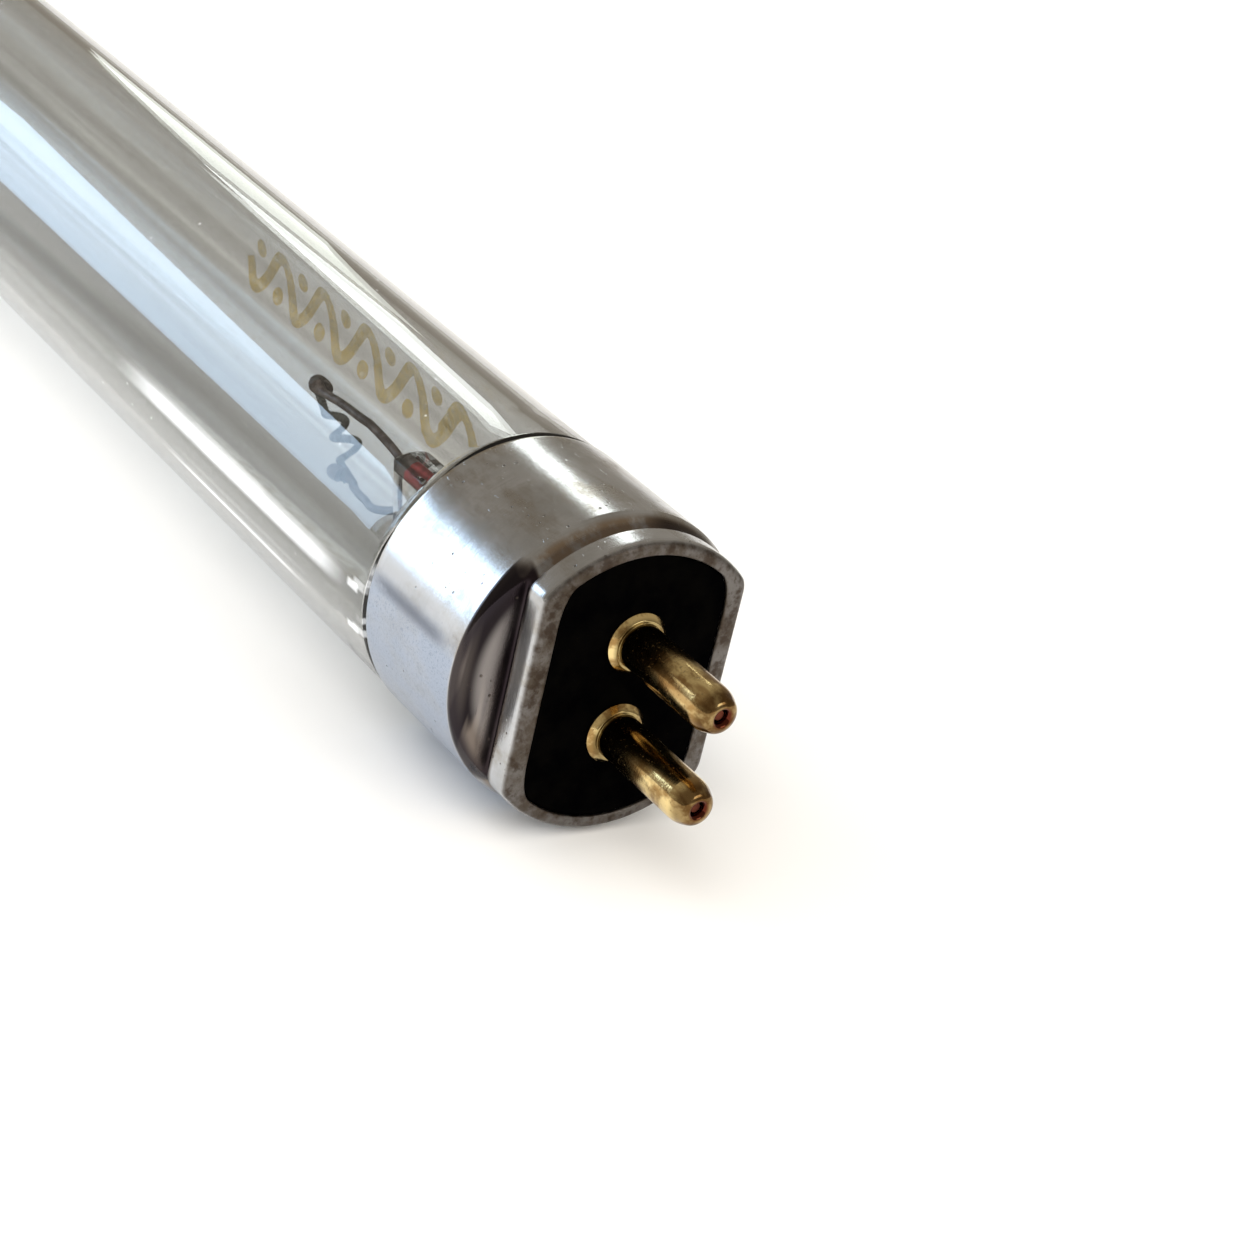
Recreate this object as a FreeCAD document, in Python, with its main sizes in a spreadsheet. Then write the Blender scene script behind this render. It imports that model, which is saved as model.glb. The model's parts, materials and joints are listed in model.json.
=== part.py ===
# Clear germicidal lamp: a straight glass tube with a two-pin aluminium cap at each end.
# Frame: millimetres, X along the lamp towards the near end, Z along the line of the two pins,
# and the origin on the axis half way between the caps.
import FreeCAD, Part
import math
import os
import Sketcher

doc = FreeCAD.newDocument("lamp")

# Driving sizes, in millimetres and degrees

sheet = doc.addObject("Spreadsheet::Sheet", "sizes")
driving_sizes = [
    ("lamp_length", 288.0, "from the face of one cap to the face of the other"),
    ("glass_dia", 15.4, "outside of the bare tube"),
    ("glass_wall", 0.8, "wall of the tube"),
    ("neck_drop", 0.4, "how much the radius drops from the inside of the cap to the neck in it"),
    ("neck_length", 5.0, "length of the tube that the cap covers"),
    ("shoulder_length", 1.0, "taper from the tube down to its neck"),
    ("shoulder_round", 0.7, "rounding of the taper"),
    ("cap_gap", 0.5, "from the start of the taper to the back edge of the cap"),
    ("cap_dia", 15.6, "outside of the cap's skirt"),
    ("cap_length", 10.9, "from the cap's back edge to its face"),
    ("sheet_wall", 0.3, "aluminium sheet"),
    ("groove_length", 1.25, "from the skirt's front edge to the crease"),
    ("groove_depth", 0.6, "drop in radius from the skirt to the crease"),
    ("crease_width", 0.25, "flat floor of the crease"),
    ("side_crease_width", 0.55, "the same on the pressed-in sides"),
    ("side_crease_depth", 0.35, "how far the crease lies behind the lip on those sides"),
    ("lip_length", 1.5, "from the crease to the face"),
    ("lip_dia", 15.1, "round sides of the lip"),
    ("lip_flats", 11.3, "across the flat sides of the lip"),
    ("lip_corner", 0.8, "rounding between its flat and round sides"),
    ("lip_round", 0.4, "rolled front edge of the lip"),
    ("window_height", 13.7, "window in the face, along the line of the pins"),
    ("window_width", 9.2, "window in the face, across the line of the pins"),
    ("window_corner", 2.6, "corner rounding of the window"),
    ("plate_thick", 0.7, "insulator plate, held between the crease and the rolled lip"),
    ("plate_rise", 0.18, "raised field of the plate inside the window"),
    ("plate_fit", 0.06, "clearance between the plate and the sheet around it"),
    ("plate_bevel", 0.15, "bevel of the plate's front edge"),
    ("pin_spacing", 4.75, "between the axes of the two pins"),
    ("pin_dia", 2.3, "contact pin"),
    ("pin_waist", 1.8, "the pin where it passes through the plate"),
    ("pin_reach", 7.1, "from the cap's face to the end of a pin"),
    ("pin_bore", 1.4, "bore of the rolled pin"),
    ("pin_fit", 0.02, "clearance of a pin in its plate"),
    ("tip_round", 0.65, "rounding at the end of a pin"),
    ("tip_hole", 0.6, "hole in the end of a pin"),
    ("tip_bevel", 0.12, "bevel round that hole"),
    ("tip_wall", 0.9, "closed end of a pin, along its axis"),
    ("tip_dimple", 0.35, "from the end of a pin down to the lead inside it"),
    ("collar_dia", 3.15, "bevelled collar at the foot of a pin"),
    ("collar_rise", 0.38, "height of that collar over the plate"),
    ("collar_bevel", 0.28, "bevel of that collar"),
    ("rivet_thick", 0.3, "flared back end of a pin, behind the plate"),
    ("cement_length", 3.6, "ring of cement that holds the cap on the neck"),
    ("cement_fit", 0.03, "clearance of the cement ring, inside and out"),
    ("rim_thick", 0.8, "rim of the stem, fused to the end of the neck"),
    ("stem_fit", 0.05, "clearance of the stem in the neck"),
    ("flare_length", 4.2, "from the rim down to the stem's tube"),
    ("flare_bow", 0.8, "how wide the flare still is half way down"),
    ("stem_dia", 5.4, "tube of the stem"),
    ("stem_wall", 0.5, "wall of that tube"),
    ("pinch_reach", 9.6, "how far the pinch stands out of the cap"),
    ("pinch_length", 4.4, "pressed flat part of the stem"),
    ("pinch_width", 4.8, "pinch, along the line of the leads"),
    ("pinch_thick", 2.1, "pinch, across the line of the leads"),
    ("pinch_round", 0.4, "rounding of the top of the pinch"),
    ("press_round", 1.2, "rounded shoulder between the pinch and the tube"),
    ("exhaust_dia", 2.0, "exhaust tube inside the stem"),
    ("exhaust_bore", 1.3, "bore of the exhaust tube"),
    ("exhaust_reach", 2.2, "how far its sealed tip stands past the rim"),
    ("blow_hole", 0.9, "hole from the exhaust tube into the lamp"),
    ("mount_turn", 10.0, "angle of the stem about the axis, from the line of the pins"),
    ("lead_spacing", 2.8, "between the two leads in the pinch"),
    ("lead_dia", 0.46, "nickel lead inside the lamp"),
    ("seal_dia", 0.5, "copper clad seal wire in the pinch"),
    ("seal_depth", 0.8, "from the top of the pinch down to the seal wire"),
    ("seal_tail", 0.4, "how far the seal wire comes out below the pinch"),
    ("seal_fit", 0.01, "clearance of the wires in the glass"),
    ("outer_dia", 0.5, "copper lead from the seal wire to the pin"),
    ("hook_height", 8.2, "from the top of the pinch to the filament"),
    ("hook_tilt", 1.55, "how much one hook stands above the middle and the other below"),
    ("hook_spread", 3.6, "between the two hooks"),
    ("lead_shift", -0.55, "how far both leads are bent the same way, up or down"),
    ("hook_dia", 1.1, "clamped end of a lead"),
    ("lead_bow", 0.95, "how far a lead bows out between the pinch and its hook"),
    ("bow_height", 4.2, "from the top of the pinch to that bow"),
    ("strand_dia", 0.38, "coated tungsten strand, itself a fine coil"),
    ("leg_fit", 0.02, "clearance of a leg in its hook"),
    ("leg_dia", 0.44, "straight leg of the strand, thickened by its coating"),
    ("leg_end", 0.15, "how far a leg stands out past its hook"),
    ("coil_dia", 1.5, "outside of the large turns"),
    ("coil_pitch", 1.3, "pitch of the large turns"),
    ("coil_turns", 2.0, "number of large turns between the hooks"),
    ("coil_side", 57.0, "angle about the line of the legs at which the large turns lie"),
    ("drop_dia", 0.9, "drop of mercury"),
    ("drop_fit", 0.02, "clearance of the drop over the glass"),
    ("drop_place", 62.0, "of the drop, from the middle of the lamp"),
]
for row, (name, value, note) in enumerate(driving_sizes, start=1):
    sheet.set("A%d" % row, name)
    sheet.set("B%d" % row, str(value))
    sheet.set("C%d" % row, note)
    sheet.setAlias("B%d" % row, name)
doc.recompute()


def size(name):
    """The number in a named cell of the sheet."""
    return float(sheet.get(name))


# Formulas that several pieces share
# Each end is drawn about its own origin, on the axis at the cap's face, with X pointing out.

GLASS_RADIUS = "sizes.glass_dia / 2"
NECK_RADIUS = "(sizes.cap_dia / 2 - sizes.sheet_wall - sizes.neck_drop)"
NECK_END = "(-sizes.cap_length + sizes.neck_length)"

BACK_EDGE = "-sizes.cap_length"
SKIRT_EDGE = "(-sizes.lip_length - sizes.groove_length)"
CREASE = "-sizes.lip_length"
CREASE_START = "(-sizes.lip_length - sizes.crease_width)"
SIDE_CREASE_START = "(-sizes.lip_length - sizes.side_crease_width)"
CAP_RADIUS = "sizes.cap_dia / 2"
CREASE_RADIUS = "(sizes.cap_dia / 2 - sizes.groove_depth)"
LIP_RADIUS = "sizes.lip_dia / 2"
LIP_SIDE = "(sizes.lip_flats / 2)"
SIDE_CREASE = "(sizes.lip_flats / 2 - sizes.side_crease_depth)"
WINDOW_RADIUS = "sizes.window_height / 2"
WINDOW_SIDE = "(sizes.window_width / 2)"

PLATE_FRONT = "(-sizes.sheet_wall)"
PLATE_BACK = "(-sizes.sheet_wall - sizes.plate_thick)"
PLATE_FIELD = "(-sizes.sheet_wall + sizes.plate_rise)"
PLATE_RADIUS = "(sizes.lip_dia / 2 - sizes.sheet_wall - sizes.plate_fit)"
PLATE_SIDE = "(sizes.lip_flats / 2 - sizes.sheet_wall - sizes.plate_fit)"
FIELD_RADIUS = "(sizes.window_height / 2 - sizes.plate_fit)"
FIELD_SIDE = "(sizes.window_width / 2 - sizes.plate_fit)"

RIM_END = "(-sizes.cap_length + sizes.neck_length + sizes.rim_thick)"
STEM_START = "(-sizes.cap_length + sizes.neck_length - sizes.flare_length)"
EXHAUST_END = "(-sizes.cap_length + sizes.neck_length + sizes.rim_thick + sizes.exhaust_reach)"
PINCH_TOP = "(-sizes.cap_length - sizes.pinch_reach)"
PINCH_FOOT = "(-sizes.cap_length - sizes.pinch_reach + sizes.pinch_length)"
HOLLOW_START = "(-sizes.cap_length - sizes.pinch_reach + sizes.pinch_length + sizes.stem_wall)"
BLOW_PLACE = "(-sizes.cap_length - sizes.pinch_reach + sizes.pinch_length - sizes.blow_hole)"
SEAL_TOP = "(-sizes.cap_length - sizes.pinch_reach + sizes.seal_depth)"
SEAL_END = ("(-sizes.cap_length - sizes.pinch_reach + sizes.pinch_length"
            " + sizes.press_round + sizes.seal_tail)")
LEAD_OFFSET = "(sizes.lead_spacing / 2)"
HOOK_MIDDLE = "(-sizes.cap_length - sizes.pinch_reach - sizes.hook_height)"
HOOK_TURN = "-atan(2 * sizes.hook_tilt / sizes.hook_spread)"

# Each end's place in the lamp, the turn of its stem, and the turn to its upper or lower side

ENDS = {
    "near": "placement(vector(sizes.lamp_length / 2; 0; 0); rotation(vector(0; 0; 1); 0))",
    "far": "placement(vector(-sizes.lamp_length / 2; 0; 0); rotation(vector(0; 0; 1); 180))",
}
MOUNT_TURN = "placement(vector(0; 0; 0); rotation(vector(1; 0; 0); sizes.mount_turn))"
SIDES = {
    "upper": "placement(vector(0; 0; 0); rotation(vector(1; 0; 0); 0))",
    "lower": "placement(vector(0; 0; 0); rotation(vector(1; 0; 0); 180))",
}
HOOK_SIGNS = {"upper": (" - ", " + "), "lower": (" + ", " - ")}


# Drawing helpers

def origin_item(body, role):
    """One of a body's own origin planes or axes."""
    return next(item for item in body.Origin.OriginFeatures if item.Role == role)


def new_body(name, place=None):
    """A body whose placement is a formula on the sheet."""
    body = doc.addObject("PartDesign::Body", name)
    body.Label = name
    if place:
        body.setExpression("Placement", place)
    return body


def sketch_on(body, name, plane, lift=None):
    """An empty sketch on an origin plane of the body, lifted off it by a formula."""
    sketch = body.newObject("Sketcher::SketchObject", body.Name + "_" + name)
    sketch.AttachmentSupport = [(origin_item(body, plane), "")]
    sketch.MapMode = "FlatFace"
    if lift:
        sketch.setExpression("AttachmentOffset.Base.z", lift)
    return sketch


def bind(sketch, kind, formula, *where):
    """Add a dimension to the sketch and tie it to the sheet."""
    number = sketch.addConstraint(Sketcher.Constraint(kind, *where, 1.0))
    sketch.setExpression("Constraints[%d]" % number, formula)


def draw_corners(sketch, corners, closed=True):
    """Straight sides between corners, each corner placed by two formulas."""
    count = len(corners)
    sides = count if closed else count - 1
    first = sketch.GeometryCount
    steps = [2 * math.pi * step / count for step in range(count)]
    rough = [FreeCAD.Vector(math.cos(step), math.sin(step), 0) for step in steps]
    for side in range(sides):
        sketch.addGeometry(Part.LineSegment(rough[side], rough[(side + 1) % count]))
    for side in range(sides if closed else sides - 1):
        sketch.addConstraint(Sketcher.Constraint(
            "Coincident", first + side, 2, first + (side + 1) % count, 1))
    for corner, (across, up) in enumerate(corners):
        side, point = (corner, 1) if corner < sides else (corner - 1, 2)
        bind(sketch, "DistanceX", across, -1, 1, first + side, point)
        bind(sketch, "DistanceY", up, -1, 1, first + side, point)
    return sketch


def draw_circle(sketch, radius, across="0", up="0"):
    """A circle whose centre and radius are formulas."""
    circle = sketch.addGeometry(
        Part.Circle(FreeCAD.Vector(1, 1, 0), FreeCAD.Vector(0, 0, 1), 1))
    bind(sketch, "Radius", radius, circle)
    bind(sketch, "DistanceX", across, -1, 1, circle, 3)
    bind(sketch, "DistanceY", up, -1, 1, circle, 3)
    return sketch


def draw_flatted_circle(sketch, radius, half_flat):
    """A circle about the origin, cut by two upright flats."""
    ring = Part.Circle(FreeCAD.Vector(0, 0, 0), FreeCAD.Vector(0, 0, 1), 2)
    spread = math.radians(30)
    right, high = 2 * math.sin(spread), 2 * math.cos(spread)
    top = sketch.addGeometry(Part.ArcOfCircle(ring, math.pi / 2 - spread, math.pi / 2 + spread))
    foot = sketch.addGeometry(
        Part.ArcOfCircle(ring, 3 * math.pi / 2 - spread, 3 * math.pi / 2 + spread))
    left_side = sketch.addGeometry(Part.LineSegment(
        FreeCAD.Vector(-right, high, 0), FreeCAD.Vector(-right, -high, 0)))
    right_side = sketch.addGeometry(Part.LineSegment(
        FreeCAD.Vector(right, -high, 0), FreeCAD.Vector(right, high, 0)))
    loop = [(top, 2, left_side, 1), (left_side, 2, foot, 1),
            (foot, 2, right_side, 1), (right_side, 2, top, 1)]
    for joint in loop:
        sketch.addConstraint(Sketcher.Constraint("Coincident", *joint))
    for arc in (top, foot):
        sketch.addConstraint(Sketcher.Constraint("Coincident", arc, 3, -1, 1))
        bind(sketch, "Radius", radius, arc)
    for side in (left_side, right_side):
        sketch.addConstraint(Sketcher.Constraint("Vertical", side))
    bind(sketch, "DistanceX", "-" + half_flat, -1, 1, left_side, 1)
    bind(sketch, "DistanceX", half_flat, -1, 1, right_side, 1)
    return sketch


def feature(body, kind, name, profile=None, formulas=(), **values):
    """A feature of the body, with the formulas that drive it and any plain settings."""
    item = body.newObject("PartDesign::" + kind, body.Name + "_" + name)
    if profile is not None:
        item.Profile = profile
    for key, value in values.items():
        setattr(item, key, value)
    for key, formula in dict(formulas).items():
        item.setExpression(key, formula)
    doc.recompute()
    return item


def revolve(body, name, corners, kind="Revolution"):
    """Turn an outline, given as pairs of place and radius, about the lamp's axis."""
    sketch = draw_corners(sketch_on(body, name + "_outline", "XY_Plane"), corners)
    axis = (origin_item(body, "X_Axis"), [""])
    return feature(body, kind, name, sketch, ReferenceAxis=axis, Angle=360.0)


def bend_wire(body, radius, corners):
    """Sweep a round wire along straight runs in the plane of X and Z."""
    (start, height) = corners[0]
    section = draw_circle(sketch_on(body, "section", "YZ_Plane", start), radius, up=height)
    path = draw_corners(sketch_on(body, "path", "XZ_Plane"), corners, closed=False)
    return feature(body, "AdditivePipe", "wire", section, Spine=path, Transition="Round corner")


def pick(shape, kind, wanted):
    """Names of the edges or faces that pass a test."""
    items = shape.Edges if kind == "Edge" else shape.Faces
    names = [kind + str(number) for number, item in enumerate(items, 1) if wanted(item)]
    if not names:
        raise ValueError("nothing to pick")
    return names


def round_edges(body, name, radius, wanted, kind="Fillet"):
    """Round or bevel the edges that pass a test."""
    names = pick(body.Tip.Shape, "Edge", wanted)
    key = "Radius" if kind == "Fillet" else "Size"
    return feature(body, kind, name, formulas={key: radius}, Base=(body.Tip, names))


def lies_at(*places):
    """A test for what is flat and square to the lamp's axis at one of these places."""
    def wanted(item):
        flat = item.BoundBox.XLength < 0.001
        return flat and any(abs(item.CenterOfMass.x - place) < 0.001 for place in places)
    return wanted


def along_axis(item):
    """A test for straight edges that run along the lamp."""
    box = item.BoundBox
    return box.XLength > 0.01 and box.YLength < 0.001 and box.ZLength < 0.001


# Glass tube: one drawn tube, tapered to a neck that each cap slips over

def make_glass_tube():
    body = new_body("glass_tube")
    shoulder = "(sizes.lamp_length / 2 - sizes.cap_length - sizes.cap_gap)"
    neck = "(sizes.lamp_length / 2 - sizes.cap_length - sizes.cap_gap + sizes.shoulder_length)"
    tube_end = "(sizes.lamp_length / 2 - sizes.cap_length + sizes.neck_length)"
    bore = "(sizes.glass_dia / 2 - sizes.glass_wall)"
    neck_bore = "(" + NECK_RADIUS + " - sizes.glass_wall)"
    half = [(shoulder, GLASS_RADIUS), (neck, NECK_RADIUS), (tube_end, NECK_RADIUS),
            (tube_end, neck_bore), (neck, neck_bore), (shoulder, bore)]
    other_half = [("-" + place, radius) for place, radius in reversed(half)]
    revolve(body, "tube", half + other_half)
    start = size("lamp_length") / 2 - size("cap_length") - size("cap_gap")
    stop = start + size("shoulder_length")
    round_edges(body, "shoulders", "sizes.shoulder_round", lies_at(start, stop, -start, -stop))
    return body


# Mercury: a loose drop on the wall of the tube

def make_mercury_drop():
    body = new_body("mercury_drop")
    body.setExpression("Placement.Base.x", "-sizes.drop_place")
    body.setExpression(
        "Placement.Base.z",
        "-(sizes.glass_dia / 2 - sizes.glass_wall - sizes.drop_dia / 2 - sizes.drop_fit)")
    feature(body, "AdditiveSphere", "drop", formulas={"Radius": "sizes.drop_dia / 2"})
    return body


# Cap shell: drawn from one sheet, pressed in on two sides, rolled over the plate

def draw_cap_form(body, inset, back, side_shift):
    """The cap as a solid form, with every wall moved in by the inset."""
    slant = inset + " / 4"
    revolve(body, "skirt", [
        (back, "0"),
        (back, CAP_RADIUS + " - " + inset),
        (SKIRT_EDGE + " - " + slant, CAP_RADIUS + " - " + inset),
        (CREASE_START + " - " + slant, CREASE_RADIUS + " - " + inset),
        (CREASE + " + " + inset, CREASE_RADIUS + " - " + inset),
        (CREASE + " + " + inset, "0"),
    ])
    sides = sketch_on(body, "pressed_sides_outline", "XY_Plane")
    shoulder = SKIRT_EDGE + " - " + side_shift
    for side in ("", "-"):
        draw_corners(sides, [
            (shoulder, side + "(" + CAP_RADIUS + " - " + inset + ")"),
            (SIDE_CREASE_START + " - " + side_shift, side + "(" + SIDE_CREASE + " - " + inset + ")"),
            ("0", side + "(" + SIDE_CREASE + " - " + inset + ")"),
            ("0", side + "sizes.cap_dia"),
            (shoulder, side + "sizes.cap_dia"),
        ])
    feature(body, "Pocket", "pressed_sides", sides, Type="ThroughAll", SideType="Symmetric")
    lip = draw_flatted_circle(sketch_on(body, "lip_outline", "YZ_Plane", "-" + inset),
                              LIP_RADIUS + " - " + inset, "(" + LIP_SIDE + " - " + inset + ")")
    feature(body, "Pad", "lip", lip, Reversed=True,
            formulas={"Length": "sizes.lip_length - 2 * " + inset})

    def lip_corner(edge):
        return along_axis(edge) and edge.BoundBox.XMax > -size("lip_length") / 2
    round_edges(body, "lip_corners", "sizes.lip_corner - " + inset, lip_corner)


def make_cap_shell(end):
    hollow = new_body(end + "_cap_hollow")
    draw_cap_form(hollow, "sizes.sheet_wall", BACK_EDGE + " - sizes.sheet_wall",
                  "sizes.sheet_wall * 3 / 4")
    body = new_body(end + "_cap_shell", ENDS[end])
    draw_cap_form(body, "0", BACK_EDGE, "0")
    round_edges(body, "rolled_edge", "sizes.lip_round", lies_at(0))
    feature(body, "Boolean", "hollow", Group=[hollow], Type="Cut")
    window = draw_flatted_circle(
        sketch_on(body, "window_outline", "YZ_Plane"), WINDOW_RADIUS, WINDOW_SIDE)
    feature(body, "Pocket", "window", window, formulas={"Length": "4 * sizes.sheet_wall"},
            SideType="Symmetric")
    wall = size("sheet_wall")
    reach = size("window_height") / 2

    def window_corner(edge):
        middle = edge.CenterOfMass
        inside = math.hypot(middle.y, middle.z) < reach + 0.001
        return along_axis(edge) and edge.BoundBox.XMin > -wall - 0.001 and inside
    round_edges(body, "window_corners", "sizes.window_corner", window_corner)
    return body


# Insulator plate: moulded disc held between the crease and the rolled lip

def make_insulator_plate(end):
    body = new_body(end + "_insulator_plate", ENDS[end])
    outline = draw_flatted_circle(
        sketch_on(body, "outline", "YZ_Plane", PLATE_BACK), PLATE_RADIUS, PLATE_SIDE)
    feature(body, "Pad", "disc", outline, formulas={"Length": "sizes.plate_thick"})
    round_edges(body, "corners", "sizes.lip_corner - sizes.sheet_wall", along_axis)
    round_edges(body, "front_bevel", "sizes.plate_bevel", lies_at(-size("sheet_wall")), "Chamfer")
    field = draw_flatted_circle(
        sketch_on(body, "field_outline", "YZ_Plane", PLATE_FRONT), FIELD_RADIUS, FIELD_SIDE)
    feature(body, "Pad", "field", field, formulas={"Length": "sizes.plate_rise"})
    plate_front = -size("sheet_wall")

    def field_corner(edge):
        return along_axis(edge) and edge.BoundBox.XMin > plate_front - 0.001
    round_edges(body, "field_corners", "sizes.window_corner - sizes.plate_fit", field_corner)
    holes = sketch_on(body, "pin_holes_outline", "YZ_Plane")
    for height in ("sizes.pin_spacing / 2", "-sizes.pin_spacing / 2"):
        draw_circle(holes, "sizes.pin_waist / 2 + sizes.pin_fit", up=height)
    feature(body, "Pocket", "pin_holes", holes, Type="ThroughAll", SideType="Symmetric")
    return body


# Contact pin: rolled brass tube, collared in front of the plate and riveted behind it

def make_contact_pin(end, side):
    body = new_body(end + "_" + side + "_contact_pin", ENDS[end] + " * " + SIDES[side]
                    + " * placement(vector(0; 0; sizes.pin_spacing / 2); rotation(vector(0; 0; 1); 0))")
    shank = "sizes.pin_dia / 2"
    waist = "sizes.pin_waist / 2"
    collar = "sizes.collar_dia / 2"
    bore = "sizes.pin_bore / 2"
    hole = "sizes.tip_hole / 2"
    revolve(body, "turned", [
        (PLATE_BACK + " - sizes.rivet_thick", bore),
        (PLATE_BACK + " - sizes.rivet_thick", collar),
        (PLATE_BACK, collar),
        (PLATE_BACK, waist),
        (PLATE_FIELD, waist),
        (PLATE_FIELD, collar),
        (PLATE_FIELD + " + sizes.collar_rise - sizes.collar_bevel", collar),
        (PLATE_FIELD + " + sizes.collar_rise", collar + " - sizes.collar_bevel"),
        (PLATE_FIELD + " + sizes.collar_rise", shank),
        ("sizes.pin_reach", shank),
        ("sizes.pin_reach", hole + " + sizes.tip_bevel"),
        ("sizes.pin_reach - sizes.tip_bevel", hole),
        ("sizes.pin_reach - sizes.tip_wall", hole),
        ("sizes.pin_reach - sizes.tip_wall", bore),
    ])
    tip_radius = size("pin_dia") / 2
    tip = size("pin_reach")

    def end_edge(edge):
        return lies_at(tip)(edge) and edge.BoundBox.ZLength > 2 * tip_radius - 0.001
    round_edges(body, "tip_round", "sizes.tip_round", end_edge)
    return body


# Stem: flared glass tube pressed flat round the leads, with the exhaust tube inside it

def make_stem_glass(end):
    body = new_body(end + "_stem_glass", ENDS[end] + " * " + MOUNT_TURN)
    tube = "sizes.stem_dia / 2"
    inside = "(sizes.stem_dia / 2 - sizes.stem_wall)"
    mouth = "(" + NECK_RADIUS + " - sizes.glass_wall - sizes.stem_fit)"
    bend = "(" + NECK_END + " - sizes.flare_length / 2)"
    revolve(body, "flare", [
        (PINCH_FOOT, "0"),
        (PINCH_FOOT, tube),
        (STEM_START, tube),
        (bend, tube + " + sizes.flare_bow"),
        (NECK_END, mouth),
        (NECK_END, NECK_RADIUS),
        (RIM_END, NECK_RADIUS),
        (RIM_END, mouth + " - sizes.stem_wall"),
        (bend + " + sizes.stem_wall", inside + " + sizes.flare_bow"),
        (STEM_START, inside),
        (HOLLOW_START, inside),
        (HOLLOW_START, "0"),
    ])
    foot = size("pinch_length") - size("pinch_reach") - size("cap_length")
    round_edges(body, "press_shoulder", "sizes.press_round", lies_at(foot))
    pinch = draw_flatted_circle(sketch_on(body, "pinch_outline", "YZ_Plane", PINCH_TOP),
                                "sizes.pinch_width / 2", "sizes.pinch_thick / 2")
    feature(body, "Pad", "pinch", pinch, formulas={"Length": "sizes.pinch_length + sizes.press_round"})
    round_edges(body, "pinch_top", "sizes.pinch_round",
                lies_at(-size("cap_length") - size("pinch_reach")))
    revolve(body, "exhaust_tube", [
        (PINCH_FOOT, "0"),
        (PINCH_FOOT, "sizes.exhaust_dia / 2"),
        (EXHAUST_END + " - sizes.exhaust_dia", "sizes.exhaust_dia / 2"),
        (EXHAUST_END + " - sizes.exhaust_dia / 3", "sizes.exhaust_dia / 3"),
        (EXHAUST_END, "sizes.exhaust_dia / 12"),
        (EXHAUST_END, "0"),
    ])
    revolve(body, "exhaust_bore", [
        (BLOW_PLACE, "0"),
        (BLOW_PLACE, "sizes.exhaust_bore / 2"),
        (EXHAUST_END + " - sizes.exhaust_dia", "sizes.exhaust_bore / 2"),
        (EXHAUST_END + " - sizes.exhaust_dia / 2", "0"),
    ], "Groove")
    blow = draw_circle(sketch_on(body, "blow_outline", "XZ_Plane"),
                       "sizes.blow_hole / 2", across=BLOW_PLACE)
    feature(body, "Pocket", "blow_hole", blow, formulas={"Length": "sizes.stem_dia"}, Reversed=True)
    holes = sketch_on(body, "seal_holes_outline", "YZ_Plane", PINCH_TOP)
    for height in (LEAD_OFFSET, "-" + LEAD_OFFSET):
        draw_circle(holes, "sizes.seal_dia / 2 + sizes.seal_fit", up=height)
    feature(body, "Pocket", "seal_holes", holes, Reversed=True,
            formulas={"Length": "sizes.pinch_length + sizes.press_round + sizes.stem_wall"})
    return body


# Seal wire: copper clad wire that the pinch is pressed on to

def make_seal_wire(end, side):
    body = new_body(end + "_" + side + "_seal_wire",
                    ENDS[end] + " * " + MOUNT_TURN + " * " + SIDES[side])
    section = draw_circle(sketch_on(body, "section", "YZ_Plane", SEAL_TOP),
                          "sizes.seal_dia / 2", up=LEAD_OFFSET)
    feature(body, "Pad", "wire", section, formulas={"Length": SEAL_END + " - " + SEAL_TOP})
    return body


# Outer lead: copper wire from the seal to the tip of its pin

def make_outer_lead(end, side):
    across = "(-sizes.lead_spacing / 2 * sin(sizes.mount_turn))"
    up = "(sizes.lead_spacing / 2 * cos(sizes.mount_turn) - sizes.pin_spacing / 2)"
    offset = "-sqrt(" + across + "^2 + " + up + "^2)"
    turn = "atan2(" + across + "; -" + up + ")"
    body = new_body(end + "_" + side + "_outer_lead", ENDS[end] + " * " + SIDES[side]
                    + " * placement(vector(0; 0; sizes.pin_spacing / 2); rotation(vector(1; 0; 0); "
                    + turn + "))")
    bend_wire(body, "sizes.outer_dia / 2", [
        (SEAL_END, offset),
        (EXHAUST_END, offset),
        (PLATE_BACK + " - 2 * sizes.rivet_thick", "0"),
        ("sizes.pin_reach - sizes.tip_dimple", "0"),
    ])
    return body


# Inner lead: nickel wire that bows out of the pinch and is clamped on the coil

def make_inner_lead(end, side):
    body = new_body(end + "_" + side + "_inner_lead",
                    ENDS[end] + " * " + MOUNT_TURN + " * " + SIDES[side])
    tilt, shift = HOOK_SIGNS[side]
    hook_place = "(" + HOOK_MIDDLE + tilt + "sizes.hook_tilt)"
    hook_height = "(sizes.hook_spread / 2" + shift + "sizes.lead_shift)"
    bend_wire(body, "sizes.lead_dia / 2", [
        (SEAL_TOP, LEAD_OFFSET),
        (PINCH_TOP, LEAD_OFFSET),
        (PINCH_TOP + " - sizes.bow_height", LEAD_OFFSET + " + sizes.lead_bow" + shift + "sizes.lead_shift"),
        (hook_place, hook_height),
    ])
    hook = "placement(vector(" + hook_place + "; 0; " + hook_height + "); rotation(vector(0; 1; 0); "
    feature(body, "AdditiveSphere", "hook",
            formulas={"Radius": "sizes.hook_dia / 2", "Placement": hook + "0))"})
    turn = ("" if side == "upper" else "-") + HOOK_TURN
    hole = hook + turn + ")) * placement(vector(0; 0; -sizes.hook_dia); rotation(vector(0; 0; 1); 0))"
    feature(body, "SubtractiveCylinder", "coil_hole",
            formulas={"Radius": "sizes.leg_dia / 2 + sizes.leg_fit",
                      "Height": "2 * sizes.hook_dia", "Placement": hole})
    return body


# Filament: coated tungsten strand wound into a few large turns between two straight legs

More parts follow.
